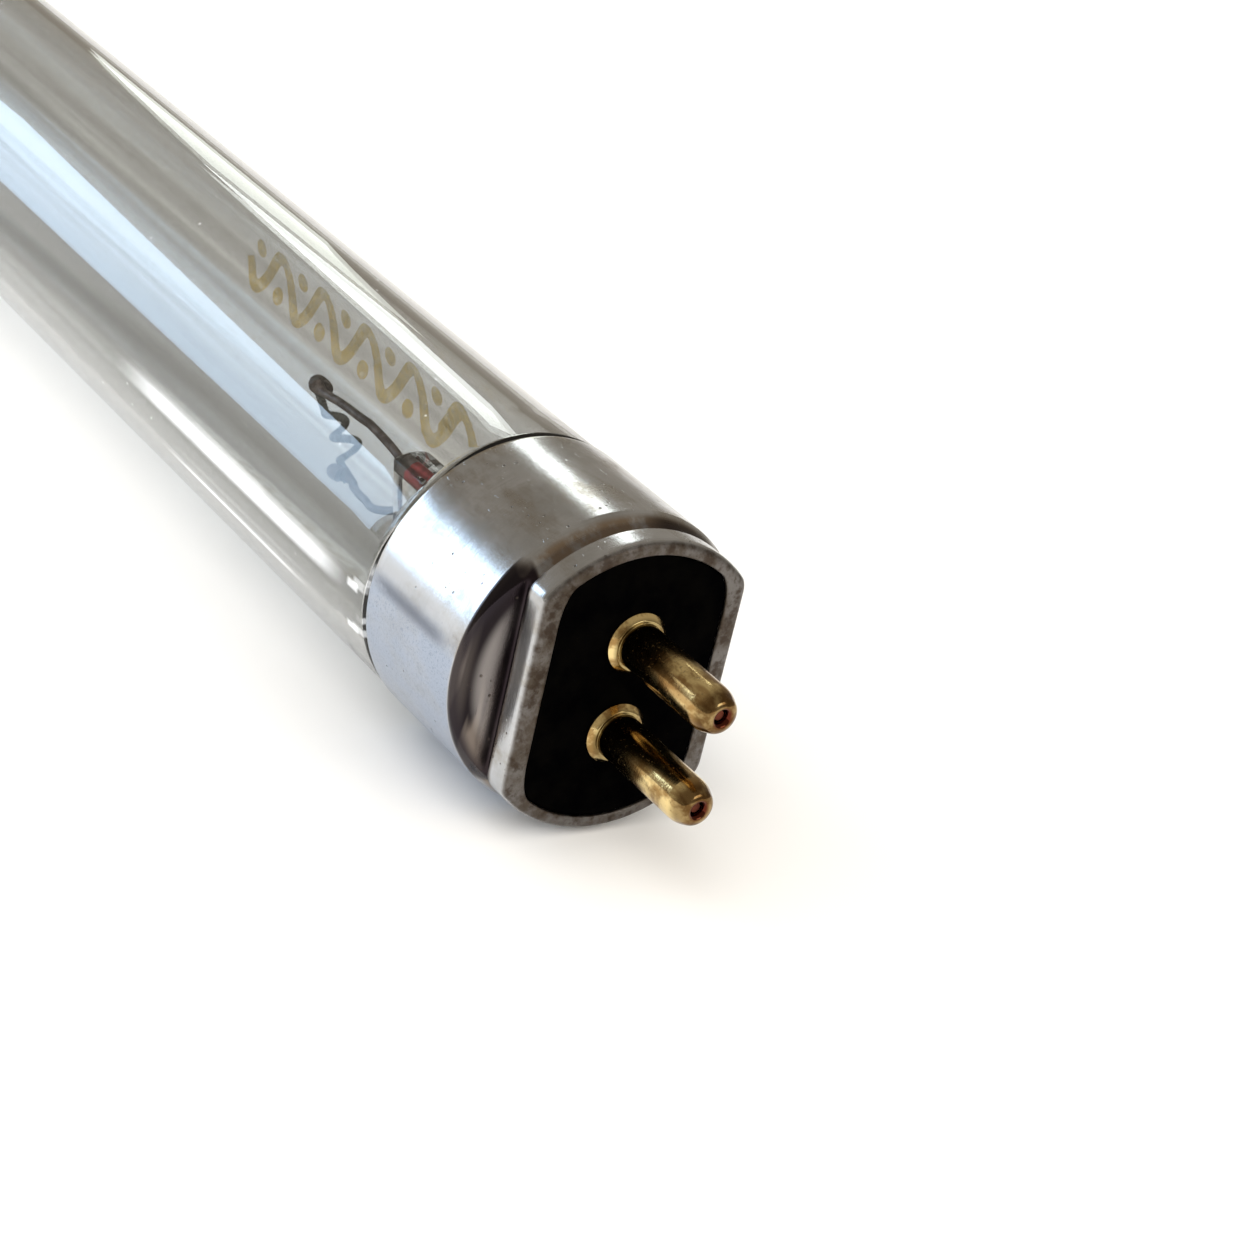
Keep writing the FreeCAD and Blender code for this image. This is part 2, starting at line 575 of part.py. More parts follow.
def make_filament_coil(end):
    turn_radius = "((sizes.coil_dia - sizes.strand_dia) / 2)"
    height = "(sizes.coil_pitch * sizes.coil_turns)"
    leg = "(sqrt(sizes.hook_spread^2 + 4 * sizes.hook_tilt^2) / 2 + sizes.hook_dia / 2 + sizes.leg_end)"
    body = new_body(end + "_filament_coil", ENDS[end] + " * " + MOUNT_TURN
                    + " * placement(vector(" + HOOK_MIDDLE + "; 0; sizes.lead_shift);"
                    + " rotation(vector(0; 1; 0); " + HOOK_TURN + "))"
                    + " * placement(vector(0; 0; 0); rotation(vector(0; 0; 1); sizes.coil_side))"
                    + " * placement(vector(" + turn_radius + "; 0; 0); rotation(vector(0; 0; 1); 0))")
    section = draw_circle(sketch_on(body, "section", "XZ_Plane"), "sizes.strand_dia / 2",
                          across="-" + turn_radius, up="-" + height + " / 2")
    feature(body, "AdditiveHelix", "turns", section, Mode="pitch-height-angle",
            ReferenceAxis=(origin_item(body, "Z_Axis"), [""]),
            formulas={"Pitch": "sizes.coil_pitch", "Height": height})
    overlap = "sizes.leg_dia * 0.6"
    starts = {"lower_leg": "-" + leg, "upper_leg": height + " / 2 - " + overlap}
    for name, start in starts.items():
        feature(body, "AdditiveCylinder", name, formulas={
            "Radius": "sizes.leg_dia / 2",
            "Height": leg + " - " + height + " / 2 + " + overlap,
            "Placement": "placement(vector(-" + turn_radius + "; 0; " + start
                         + "); rotation(vector(0; 0; 1); 0))"})
    return body


# Capping cement: the ring that holds the shell on the neck

def make_capping_cement(end):
    body = new_body(end + "_capping_cement", ENDS[end])
    inner = "(" + NECK_RADIUS + " + sizes.cement_fit)"
    outer = "(sizes.cap_dia / 2 - sizes.sheet_wall - sizes.cement_fit)"
    start = "(-sizes.cap_length + sizes.neck_length - sizes.cement_length)"
    revolve(body, "ring", [(start, inner), (NECK_END, inner), (NECK_END, outer), (start, outer)])
    return body


# The lamp

def make_end(end):
    pieces = [make_cap_shell(end), make_insulator_plate(end), make_stem_glass(end),
              make_filament_coil(end), make_capping_cement(end)]
    for side in SIDES:
        pieces += [make_contact_pin(end, side), make_seal_wire(end, side),
                   make_outer_lead(end, side), make_inner_lead(end, side)]
    return pieces


def check(pieces):
    """Stop if anything in the document or any piece is not sound."""
    doc.recompute()
    for item in doc.Objects:
        if "Invalid" in item.State or "Error" in item.State:
            raise RuntimeError(item.Name + " failed: " + item.getStatusString())
    for piece in pieces:
        shape = piece.Shape
        if shape.isNull() or not shape.isValid() or len(shape.Solids) != 1:
            raise RuntimeError(piece.Label + " is not one sound solid")


def main():
    pieces = [make_glass_tube(), make_mercury_drop()]
    for end in ENDS:
        pieces += make_end(end)
    check(pieces)
    os.makedirs("parts", exist_ok=True)
    for piece in pieces:
        piece.Shape.exportStep("parts/" + piece.Label + ".step")
        print("%-28s %9.3f mm3" % (piece.Label, piece.Shape.Volume))


if __name__ == "__main__":
    main()
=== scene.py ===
# %% [markdown]
# # A clear germicidal lamp
# A straight glass tube carries a pressed aluminium cap with two brass pins on each end, and an
# electrode behind each cap. The solids come packed, in metres, with X along the lamp and Z along the
# line of the pins. This notebook gives them smooth surfaces, real finishes, light and a camera.

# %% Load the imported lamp
import json
import math
from types import SimpleNamespace
import bmesh
import bpy
import numpy as np
from mathutils import Matrix, Vector


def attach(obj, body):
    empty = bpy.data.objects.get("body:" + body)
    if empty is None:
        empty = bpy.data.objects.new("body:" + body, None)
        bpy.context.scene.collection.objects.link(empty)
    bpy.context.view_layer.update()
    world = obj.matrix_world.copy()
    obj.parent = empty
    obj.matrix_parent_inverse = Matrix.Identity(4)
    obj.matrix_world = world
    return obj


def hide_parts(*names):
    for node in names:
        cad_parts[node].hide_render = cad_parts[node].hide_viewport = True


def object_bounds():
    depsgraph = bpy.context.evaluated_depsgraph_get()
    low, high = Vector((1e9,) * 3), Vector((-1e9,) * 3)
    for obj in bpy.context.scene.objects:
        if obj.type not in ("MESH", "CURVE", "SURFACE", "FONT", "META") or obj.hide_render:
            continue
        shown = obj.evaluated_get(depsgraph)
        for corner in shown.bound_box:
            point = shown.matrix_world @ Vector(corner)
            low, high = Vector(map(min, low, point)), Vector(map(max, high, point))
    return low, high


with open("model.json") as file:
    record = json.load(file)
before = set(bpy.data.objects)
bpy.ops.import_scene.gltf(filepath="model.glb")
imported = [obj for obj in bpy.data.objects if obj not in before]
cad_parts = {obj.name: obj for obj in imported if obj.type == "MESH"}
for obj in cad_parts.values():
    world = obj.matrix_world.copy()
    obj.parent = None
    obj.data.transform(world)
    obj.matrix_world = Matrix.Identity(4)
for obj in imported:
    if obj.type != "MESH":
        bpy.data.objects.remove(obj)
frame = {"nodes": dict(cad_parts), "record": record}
cad_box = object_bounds()
MM = 0.001
print("solids:", len(frame["nodes"]))

# %% [markdown]
# ## Camera and studio
# The photograph looks down on one end of the lamp from 25 degrees up, a little rolled. Its three
# directions are written out, because they were measured on the cap and the pins. The lamp lies on a
# pale floor, and broad lights from several sides keep its shadow soft.

# %% Camera
RIGHT = Vector((0.5306, 0.8210, 0.2111))
UP = Vector((-0.4661, 0.0746, 0.8816))
FORWARD = Vector((-0.7080, 0.5662, -0.4222))
CAMERA_AT = Vector((0.2449, -0.08196, 0.06384))

lens = bpy.data.cameras.new("camera")
lens.lens = 91.25
lens.sensor_width = 36.0
lens.clip_start = 0.005
camera = bpy.data.objects.new("camera", lens)
camera.matrix_world = Matrix((RIGHT, UP, -FORWARD)).transposed().to_4x4()
camera.location = CAMERA_AT
bpy.context.scene.collection.objects.link(camera)
bpy.context.scene.camera = camera
bpy.context.scene.view_settings.view_transform = "Standard"
print("camera is", round(camera.location.length * 1000), "mm from the middle of the lamp")

# %% [markdown]
# Each light is a flat panel that faces the cap. It is placed by the direction in which the polished
# parts mirror it: a blue-white window low behind the lamp, a narrow one on its other side with a
# fainter one under it, and a small box in front of the pins. Two large soft boxes whiten the floor from
# overhead and from the side of the camera. Nothing mirrors those two, because they would lay a white
# haze over the glass.

# %% Lights
AIM = Vector((0.125, 0.0, 0.0))
PANEL_DISTANCE, BOX_DISTANCE = 0.9, 1.1
DAYLIGHT, GREENISH, PALE_GREEN = (0.57, 0.77, 1.0), (0.94, 1.0, 0.97), (0.93, 1.0, 0.93)
WARM_WHITE, FLOOR_WHITE = (1.0, 0.98, 0.95), (1.0, 0.975, 0.94)
ROOM_TONE = (0.34, 0.305, 0.255, 1.0)


def panel(name, azimuth, height, distance, width, tall, radiance, colour, lean=0.0):
    """A panel of light that faces the cap, in a direction given in degrees. Sizes are in metres."""
    turn, lift = math.radians(azimuth), math.radians(height)
    toward = Vector((math.cos(lift) * math.cos(turn), math.cos(lift) * math.sin(turn), math.sin(lift)))
    light = bpy.data.lights.new(name, "AREA")
    light.shape = "RECTANGLE"
    light.size = width
    light.size_y = tall
    light.energy = radiance * math.pi * width * tall
    light.color = colour
    lamp = bpy.data.objects.new(name, light)
    lamp.location = AIM + toward * distance
    facing = toward.to_track_quat("Z", "Y").to_matrix() @ Matrix.Rotation(math.radians(lean), 3, "Z")
    lamp.rotation_euler = facing.to_euler()
    bpy.context.scene.collection.objects.link(lamp)
    return lamp


panel("window_light", -147, 12, PANEL_DISTANCE, 0.42, 0.40, 4.8, DAYLIGHT)
panel("narrow_window", 151, 30, PANEL_DISTANCE, 0.095, 0.29, 4.0, GREENISH, -4)
panel("faint_window", 148, 12, PANEL_DISTANCE, 0.10, 0.21, 1.7, PALE_GREEN, -4)
panel("side_box", 20, 28, PANEL_DISTANCE, 0.50, 0.35, 2.4, WARM_WHITE)
for name, azimuth, height in (("overhead_box", 8, 66), ("near_side_box", -85, 42)):
    floor_light = panel(name, azimuth, height, BOX_DISTANCE, 1.8, 1.6, 1.3, FLOOR_WHITE)
    floor_light.visible_glossy = False

surroundings = bpy.data.worlds.new("surroundings")
surroundings.use_nodes = True
background = surroundings.node_tree.nodes["Background"]
background.inputs["Color"].default_value = ROOM_TONE
background.inputs["Strength"].default_value = 1.0
bpy.context.scene.world = surroundings

# %% [markdown]
# ## Shader maths as Python
# A finish is easier to read as a formula than as a web of nodes. `Wire` wraps one socket, and each
# operator adds the Math node it stands for. `between` is a soft step and `band` is two of them, back
# to back, which is how a mark gets its place. `Finish` holds one material and adds every other node.

# %% The two helper classes


class Wire:
    """One output socket, so that expressions on it add Math nodes."""

    def __init__(self, finish, socket):
        self.finish = finish
        self.socket = socket

    def __add__(self, other):
        return self.finish.math("ADD", self, other)

    def __radd__(self, other):
        return self.finish.math("ADD", other, self)

    def __sub__(self, other):
        return self.finish.math("SUBTRACT", self, other)

    def __rsub__(self, other):
        return self.finish.math("SUBTRACT", other, self)

    def __mul__(self, other):
        return self.finish.math("MULTIPLY", self, other)

    def __rmul__(self, other):
        return self.finish.math("MULTIPLY", other, self)

    def size(self):
        return self.finish.math("ABSOLUTE", self)

    def between(self, low, high):
        """0 below low, 1 above high, and smooth in between. Low may be the larger."""
        return self.finish.node("ShaderNodeMapRange", {"interpolation_type": "SMOOTHSTEP"},
                                {"Value": self, "From Min": low, "From Max": high})

    def band(self, start, full, fading, end):
        """0 up to start, 1 from full to fading, and 0 again from end on."""
        return self.between(start, full) * self.between(end, fading)


class Finish:
    """One material, its Principled shader and the nodes that feed it."""

    def __init__(self, name, **constants):
        self.material = bpy.data.materials.new(name)
        self.material.use_nodes = True
        self.tree = self.material.node_tree
        self.shader = self.tree.nodes["Principled BSDF"]
        for socket, value in constants.items():
            self.shader.inputs[socket.replace("_", " ")].default_value = value
        self.material.diffuse_color = self.shader.inputs["Base Color"].default_value

    def node(self, kind, settings, sockets, output=0):
        added = self.tree.nodes.new(kind)
        for name, value in settings.items():
            setattr(added, name, value)
        for name, value in sockets.items():
            self.feed(added.inputs[name], value)
        return Wire(self, added.outputs[output])

    def feed(self, socket, value):
        if isinstance(value, Wire):
            self.tree.links.new(value.socket, socket)
        else:
            socket.default_value = value

    def math(self, operation, *values):
        return self.node("ShaderNodeMath", {"operation": operation}, dict(enumerate(values)))

    def place(self, x=1.0, y=1.0, z=1.0):
        """Position on the piece in millimetres, stretched along each axis."""
        spot = self.node("ShaderNodeTexCoord", {}, {}, "Object")
        return self.node("ShaderNodeVectorMath", {"operation": "MULTIPLY"},
                         {0: spot, 1: (x / MM, y / MM, z / MM)})

    def split(self, vector):
        parts = self.node("ShaderNodeSeparateXYZ", {}, {"Vector": vector})
        return [Wire(self, socket) for socket in parts.socket.node.outputs]

    def noise(self, vector, scale, detail=2.0, roughness=0.5):
        return self.node("ShaderNodeTexNoise", {}, {"Vector": vector, "Scale": scale, "Detail": detail,
                                                    "Roughness": roughness})

    def cells(self, vector, scale):
        """Distance to the nearest of many scattered points."""
        return self.node("ShaderNodeTexVoronoi", {"feature": "F1"},
                         {"Vector": vector, "Scale": scale}, "Distance")

    def blend(self, share, low, high):
        """The colour low where share is 0 and high where it is 1."""
        return self.node("ShaderNodeMix", {"data_type": "RGBA"},
                         {0: share, 6: colour(low), 7: colour(high)}, 2)

    def paint(self, base, *coats):
        """Colours over a base, each through its own mask, the lowest first."""
        for share, tone in coats:
            base = self.blend(share, base, tone)
        return base

    def bump(self, height, strength, depth):
        self.set("Normal", self.node("ShaderNodeBump", {}, {"Height": height, "Strength": strength,
                                                            "Distance": depth * MM}))

    def set(self, socket, value):
        self.feed(self.shader.inputs[socket], value)


def colour(value):
    return value if isinstance(value, Wire) else (*value, 1.0)


# %% [markdown]
# ## Aluminium
# The caps are drawn from sheet and tumbled, so they are satin, with fine lines round them, tiny pits
# and a few scratches. The crease holds painted shade, and the rolled lip is rougher and browner. The
# groove and the pressed sides carry painted shade too, the pressed sides also a painted highlight, and
# the underside of the skirt a painted blue window reflection and a dark painted reflection streak.
# An image could carry the marks, but it would need the cap unwrapped and would blur close up. Every
# mark has its place on the cap, so its mask is a band of the position in millimetres instead, with the
# face of the cap at x = 0. The colours then lie over one another like coats of paint.

# %% Places on the cap


def cap_bands(finish, smudge):
    x, y, z = finish.split(finish.place())
    reach = y * y + z * z
    groove = x.band(-2.70, -2.30, -1.60, -1.30)
    pressed = x.band(-2.98, -2.86, -1.45, -1.15) * y.size().between(4.9, 5.1) * z.size().between(5.9, 5.2)
    # Painted reflection: a dark streak along the underside of the skirt, faded by the smudge noise.
    reflection_streak = z.band(0.30, 0.95, 0.95, 1.60) * y.between(-6.0, -7.0) * x.band(-11.4, -9.6, -5.2, -3.2)
    return SimpleNamespace(
        face=x.between(-0.30, -0.06),
        lip=x.between(-0.45, -0.10),
        rim=x.between(-10.45, -10.85),
        groove=groove,
        # Painted shade in the groove, darkest on one quarter of it.
        shaded_groove_side=groove * y.between(-0.3, 2.0) * z.between(0.0, 1.0),
        # Painted shade in the crease behind the lip, deeper on the pressed sides.
        crease=x.band(-2.35, -2.05, -1.56, -1.30),
        pressed=pressed,
        # On the pressed sides: painted shade in the trough and near the outer edge, and a painted highlight
        # on the ridge.
        trough=x.band(-2.80, -2.40, -1.62, -1.46),
        ridge=reach.band(31.0, 37.0, 41.0, 49.0),
        edge=reach.between(50.5, 58.0),
        # Painted reflection: a blue window reflection on the underside of the skirt.
        blue_reflection=z.between(2.3, 0.2) * x.between(-2.9, -3.1),
        reflection_streak=reflection_streak * smudge.between(0.20, 0.48))


# %% Colours of the cap
SATIN, DULL, FINE_LINES = (0.60, 0.61, 0.63), (0.47, 0.475, 0.48), (0.40, 0.40, 0.40)
# The groove tan here is painted shade in the groove, patchy with the smudge noise.
SMUDGE_BROWN, RIM_BROWN, GROOVE_SHADE_TAN = (0.33, 0.285, 0.225), (0.40, 0.31, 0.18), (0.32, 0.23, 0.15)
# Painted reflections on the skirt: a blue window reflection with its specks, and a dark streak.
BLUE_REFLECTION_GREY, BLUE_REFLECTION_SPECK, REFLECTION_STREAK_GREY = (0.39, 0.45, 0.56), (0.26, 0.30, 0.39), (0.16, 0.18, 0.225)
# Pressed sides: painted shade over them and in the trough, and a painted highlight on the ridge.
PRESSED_SHADE_GREY, TROUGH_PAINTED_SHADE, RIDGE_PAINTED_HIGHLIGHT = (0.35, 0.295, 0.255), (0.02, 0.016, 0.018), (0.55, 0.51, 0.49)
# Painted shade near the outer edge of the pressed sides, in the crease, and on one side of the groove.
EDGE_PAINTED_SHADE, CREASE_PAINTED_SHADE, GROOVE_PAINTED_SHADE = (0.03, 0.025, 0.03), (0.03, 0.022, 0.026), (0.03, 0.022, 0.018)
FACE_BROWN, RUST_BROWN, PIT_DARK = (0.075, 0.057, 0.042), (0.05, 0.034, 0.024), (0.12, 0.10, 0.085)

# %% Drawn aluminium


def make_aluminium():
    finish = Finish("drawn_aluminium", Metallic=1.0)
    spot = finish.place()
    turning = finish.noise(finish.place(9.0, 0.25, 0.25), 1.6, 3.0, 0.6)
    cloud = finish.noise(spot, 0.35, 4.0, 0.6)
    smudge = finish.noise(finish.place(0.5, 1.0, 1.0), 0.55, 5.0, 0.65)
    grain = finish.noise(spot, 7.0, 3.0, 0.7)
    # Specks in the painted blue reflection.
    blue_reflection_speckle = finish.noise(spot, 8.0, 3.0, 0.7).between(0.50, 0.66)
    # Upright streaks of painted shade for the pressed sides.
    shade_streaks = finish.noise(finish.place(1.0, 1.0, 0.16), 0.8, 2.0, 0.5).between(0.58, 0.48)
    rust = finish.noise(spot, 1.3, 4.0, 0.6).between(0.47, 0.64)
    scratches = finish.noise(finish.place(1.2, 5.0, 0.35), 1.3, 2.0).between(0.70, 0.74)
    on = cap_bands(finish, smudge)
    skirt_pits = finish.cells(spot, 1.7).between(0.16, 0.09) * finish.noise(spot, 0.5).between(0.50, 0.60)
    lip_pits = finish.cells(spot, 3.2).between(0.20, 0.10) * on.lip
    pits = skirt_pits + lip_pits * 0.6
    finish.set("Base Color", finish.paint(
        finish.blend(cloud.between(0.35, 0.70), SATIN, DULL),
        (turning.between(0.30, 0.75) * 0.30, FINE_LINES),
        (smudge.between(0.48, 0.68) * 0.62, SMUDGE_BROWN),
        (on.rim * smudge.between(0.35, 0.60) * 0.7, RIM_BROWN),
        # Painted shade in the groove, then darker painted shade on one side of it.
        (on.groove * smudge.between(0.30, 0.50) * 0.9, GROOVE_SHADE_TAN),
        (on.shaded_groove_side * 0.92, GROOVE_PAINTED_SHADE),
        # Painted reflections on the underside of the skirt: a blue window reflection with specks, and a dark
        # streak.
        (on.blue_reflection * (0.7 + smudge.between(0.60, 0.40) * 0.25), BLUE_REFLECTION_GREY),
        (blue_reflection_speckle * on.blue_reflection * 0.6, BLUE_REFLECTION_SPECK),
        (on.reflection_streak * 0.85, REFLECTION_STREAK_GREY),
        # Painted shade over the pressed sides, with dark painted streaks, a painted highlight on the ridge
        # and painted shade near the outer edge.
        (on.pressed * 0.9, PRESSED_SHADE_GREY),
        (on.pressed * (on.trough * 0.45 + shade_streaks * 0.6), TROUGH_PAINTED_SHADE),
        (on.pressed * on.ridge * 0.4, RIDGE_PAINTED_HIGHLIGHT),
        (on.pressed * on.edge * 0.88, EDGE_PAINTED_SHADE),
        # Painted shade in the crease, deeper on the pressed sides.
        (on.crease * (0.45 + on.pressed * 0.5), CREASE_PAINTED_SHADE),
        (on.face * (0.76 + smudge.between(0.35, 0.60) * 0.2), FACE_BROWN),
        (on.face * rust * 0.8, RUST_BROWN),
        (pits * 0.7, PIT_DARK)))
    rough = 0.11 + turning * 0.12 + cloud * 0.06 + smudge.between(0.5, 0.7) * 0.08
    finish.set("Roughness", rough + on.face * 0.24 + on.crease * 0.10 + pits * 0.25)
    height = turning * 0.35 + grain * (0.22 + on.face * 1.3) + cloud - pits * 1.4 - scratches * 0.7
    finish.bump(height, 0.35, 0.03)
    return finish.material


# %% [markdown]
# ## Glass
# The tube is polished glass, seen through twice. A little grey in it gives the tone that the photograph
# has. Drawn glass is never even, so the grey varies in streaks along it. The darker lines along the
# tube are painted reflections, with painted shade along its bottom, and the bright lines are painted
# highlights. All of these are bands of the position on the tube, faded by noise. The bright lines and a
# few specks of dust give off a little light of their own, which keeps such small gleams where they
# belong; on the dust this is painted light on real specks. Light passes the glass by a mix with a
# transparent shader for shadow rays, so the inside is lit cleanly.

# %% Places on the glass
# Bend and slope of the painted dark reflection line, where it curves towards the neck.
REFLECTION_BEND, REFLECTION_SLOPE = 114.0, 0.04


def glass_bands(finish):
    x, y, z = finish.split(finish.place())
    along = x.size()
    drift = z - (finish.math("MINIMUM", along, REFLECTION_BEND) - REFLECTION_BEND) * REFLECTION_SLOPE
    low_side = y.between(-5.0, -6.2)
    # Painted reflections: two pairs of thin dark lines along the tube.
    reflection_hairlines = z.band(6.15, 6.32, 6.45, 6.62) + z.band(3.85, 4.0, 4.12, 4.25)
    dashes = z.band(-0.72, -0.55, -0.30, -0.15) + z.band(-2.95, -2.80, -2.60, -2.45)
    return SimpleNamespace(
        low_side=low_side,
        # Painted reflections: a dark line on the low side and thin dark lines; painted shade along the
        # bottom.
        seam=drift.band(0.85, 1.40, 1.65, 2.15) * low_side,
        reflection_hairline=reflection_hairlines * y.between(-2.0, -3.0),
        painted_dark_foot=z.between(-6.4, -7.2),
        # Painted highlights: bright lines on the low side near the neck, which glow.
        broad=z.band(-1.30, -0.95, -0.38, -0.08) * along.band(104.0, 111.0, 127.0, 131.0),
        thin=z.band(-3.36, -3.22, -3.12, -3.00) * along.band(109.0, 115.0, 123.0, 127.0),
        dash=dashes * along.band(130.9, 131.2, 131.9, 132.2))


# %% Clear glass
# Glow colours: painted light on the dust specks, and painted highlights on the bright lines.
UNLIT, DUST_GLOW_GREY, PAINTED_GLEAM_WHITE = (0.0, 0.0, 0.0), (0.42, 0.43, 0.44), (0.90, 0.92, 0.94)
# Grey of the painted dark reflections and of the painted shade along the bottom.
DARK_REFLECTION_GREY = (0.36, 0.36, 0.335)


def make_glass(name, dark, clear, shadow, wave, shine, ior):
    finish = Finish(name, Transmission_Weight=1.0, IOR=ior, Emission_Strength=1.0)
    spot = finish.place()
    on = glass_bands(finish)
    streaks = finish.noise(finish.place(0.012, 0.55, 0.55), 0.8, 3.0, 0.6)
    draw_lines = finish.noise(finish.place(0.03, 0.8, 0.8), 1.0, 3.0, 0.55)
    smear = finish.noise(finish.place(0.2, 0.6, 0.6), 1.0, 4.0).between(0.55, 0.80)
    patchy = finish.noise(finish.place(0.12, 0.5, 0.5), 1.0, 3.0).between(0.46, 0.60)
    # Dust specks that glow: painted light on real dust.
    glowing_dust = finish.cells(spot, 0.55).between(0.05, 0.03) * finish.noise(spot, 0.12).between(0.50, 0.60)
    # Painted dark reflections and painted shade along the bottom of the tube.
    painted_darkening = on.seam * 0.9 + on.painted_dark_foot * streaks.between(0.60, 0.45) * 0.5 + on.reflection_hairline * 0.45
    # Painted highlights on the low side of the tube, which glow.
    painted_gleam = (on.broad * (0.7 + patchy * 0.3) + on.thin * 0.45 + on.dash * 0.9) * on.low_side * shine
    tint = finish.blend(streaks.between(0.38, 0.62), dark, clear)
    finish.set("Base Color", finish.blend(painted_darkening, tint, DARK_REFLECTION_GREY))
    # The glow on the dust and on the bright lines is painted light.
    finish.set("Emission Color", finish.paint(UNLIT, (glowing_dust, DUST_GLOW_GREY), (painted_gleam, PAINTED_GLEAM_WHITE)))
    finish.set("Roughness", smear * 0.02)
    finish.bump(draw_lines, wave, 0.05)
    glass = Wire(finish, finish.shader.outputs[0])
    see_through = finish.node("ShaderNodeBsdfTransparent", {}, {"Color": colour(shadow)})
    shaded = finish.node("ShaderNodeLightPath", {}, {}, "Is Shadow Ray")
    mixed = finish.node("ShaderNodeMixShader", {}, {0: shaded, 1: glass, 2: see_through})
    finish.feed(finish.tree.nodes["Material Output"].inputs["Surface"], mixed)
    return finish.material


# %% [markdown]
# ## Brass, nickel and copper
# The pins are polished brass that has darkened unevenly, most of all at the tip, and the dark at the foot
# of each pin is a painted reflection of the black plate. The wires inside the lamp went through a flame
# when the stem was pressed, so the nickel is dark and the copper cladding of the seal is red under its
# glass. The copper leads in the pin bores are darkened further as painted shade.

# %% Brass and wires
BRIGHT_BRASS, BROWN_BRASS, BRONZE = (0.88, 0.68, 0.32), (0.36, 0.22, 0.08), (0.36, 0.20, 0.07)
# The dark at the foot of the pin is a painted reflection of the black plate.
FOOT_PLATE_REFLECTION, SPOT_BROWN, TIP_BROWN = (0.13, 0.10, 0.04), (0.17, 0.095, 0.04), (0.12, 0.062, 0.02)
DIMPLE_RED = (0.10, 0.022, 0.012)


def make_brass():
    finish = Finish("polished_brass", Metallic=1.0)
    spot = finish.place()
    x, y, z = finish.split(spot)
    turning = finish.noise(finish.place(7.0, 0.4, 0.4), 1.8, 3.0)
    patina = finish.noise(finish.place(0.6, 1.0, 1.0), 1.1, 4.0, 0.6)
    worn = patina.between(0.40, 0.60)
    spots = finish.noise(spot, 4.5, 3.0, 0.7).between(0.58, 0.72)
    bronze = finish.noise(finish.place(0.35, 1.3, 1.3), 0.8, 3.0).between(0.50, 0.62)
    # Painted reflection of the black plate, near the foot of the pin.
    painted_dark_foot = x.band(0.10, 0.32, 0.3, 3.4)
    tip = x.between(6.1, 6.7)
    dimple = (y * y + z * z).between(0.36, 0.16)
    finish.set("Base Color", finish.paint(
        finish.blend(worn, BRIGHT_BRASS, BROWN_BRASS),
        (bronze * x.between(0.6, 2.0) * 0.7, BRONZE),
        # Painted reflection of the plate at the foot of the pin.
        (painted_dark_foot * 0.8, FOOT_PLATE_REFLECTION),
        (spots * 0.55, SPOT_BROWN),
        (tip * (0.70 + worn * 0.28), TIP_BROWN),
        (tip * dimple, DIMPLE_RED)))
    finish.set("Roughness", 0.07 + patina * 0.10 + spots * 0.2 + turning * 0.06)
    finish.bump(turning * 0.5 + patina * 0.4 - spots * 0.3, 0.25, 0.02)
    return finish.material


def make_wire(name, bright, dark, rough):
    finish = Finish(name, Metallic=1.0)
    spot = finish.place()
    bands = finish.noise(spot, 1.6, 4.0, 0.6)
    fine = finish.noise(spot, 9.0, 3.0, 0.6)
    finish.set("Base Color", finish.blend(bands.between(0.35, 0.65), bright, dark))
    finish.set("Roughness", rough + bands * 0.15 + fine * 0.1)
    finish.bump(bands * 0.5 + fine, 0.4, 0.02)
    return finish.material


# %% [markdown]
# ## Insulator, cement, filament coat and ink
# None of these is metal. Each has its own grain: moulding flow marks on the black plate, baked crumbs
# in the cement, oxide powder on the filament, and worn ink on the tube.

# %% Dull finishes


def make_powder(name, low, high, scale, rough, depth, **constants):
    finish = Finish(name, **constants)
    spot = finish.place()
    cloud = finish.noise(spot, scale, 4.0, 0.6)
    crumbs = finish.noise(spot, scale * 6.0, 3.0, 0.7)
    finish.set("Base Color", finish.blend(cloud.between(0.3, 0.7), low, high))
    finish.set("Roughness", rough + crumbs * 0.2)
    finish.bump(cloud + crumbs * 0.5, 0.5, depth)
    return finish.material


def make_ink():
    finish = Finish("ochre_print", Roughness=0.6)
    spot = finish.place()
    worn = finish.noise(spot, 2.2, 4.0, 0.65)
    finish.set("Base Color", finish.blend(worn, (0.95, 0.60, 0.05), (0.98, 0.72, 0.15)))
    finish.set("Alpha", 0.45 + worn.between(0.70, 0.35) * 0.4)
    return finish.material


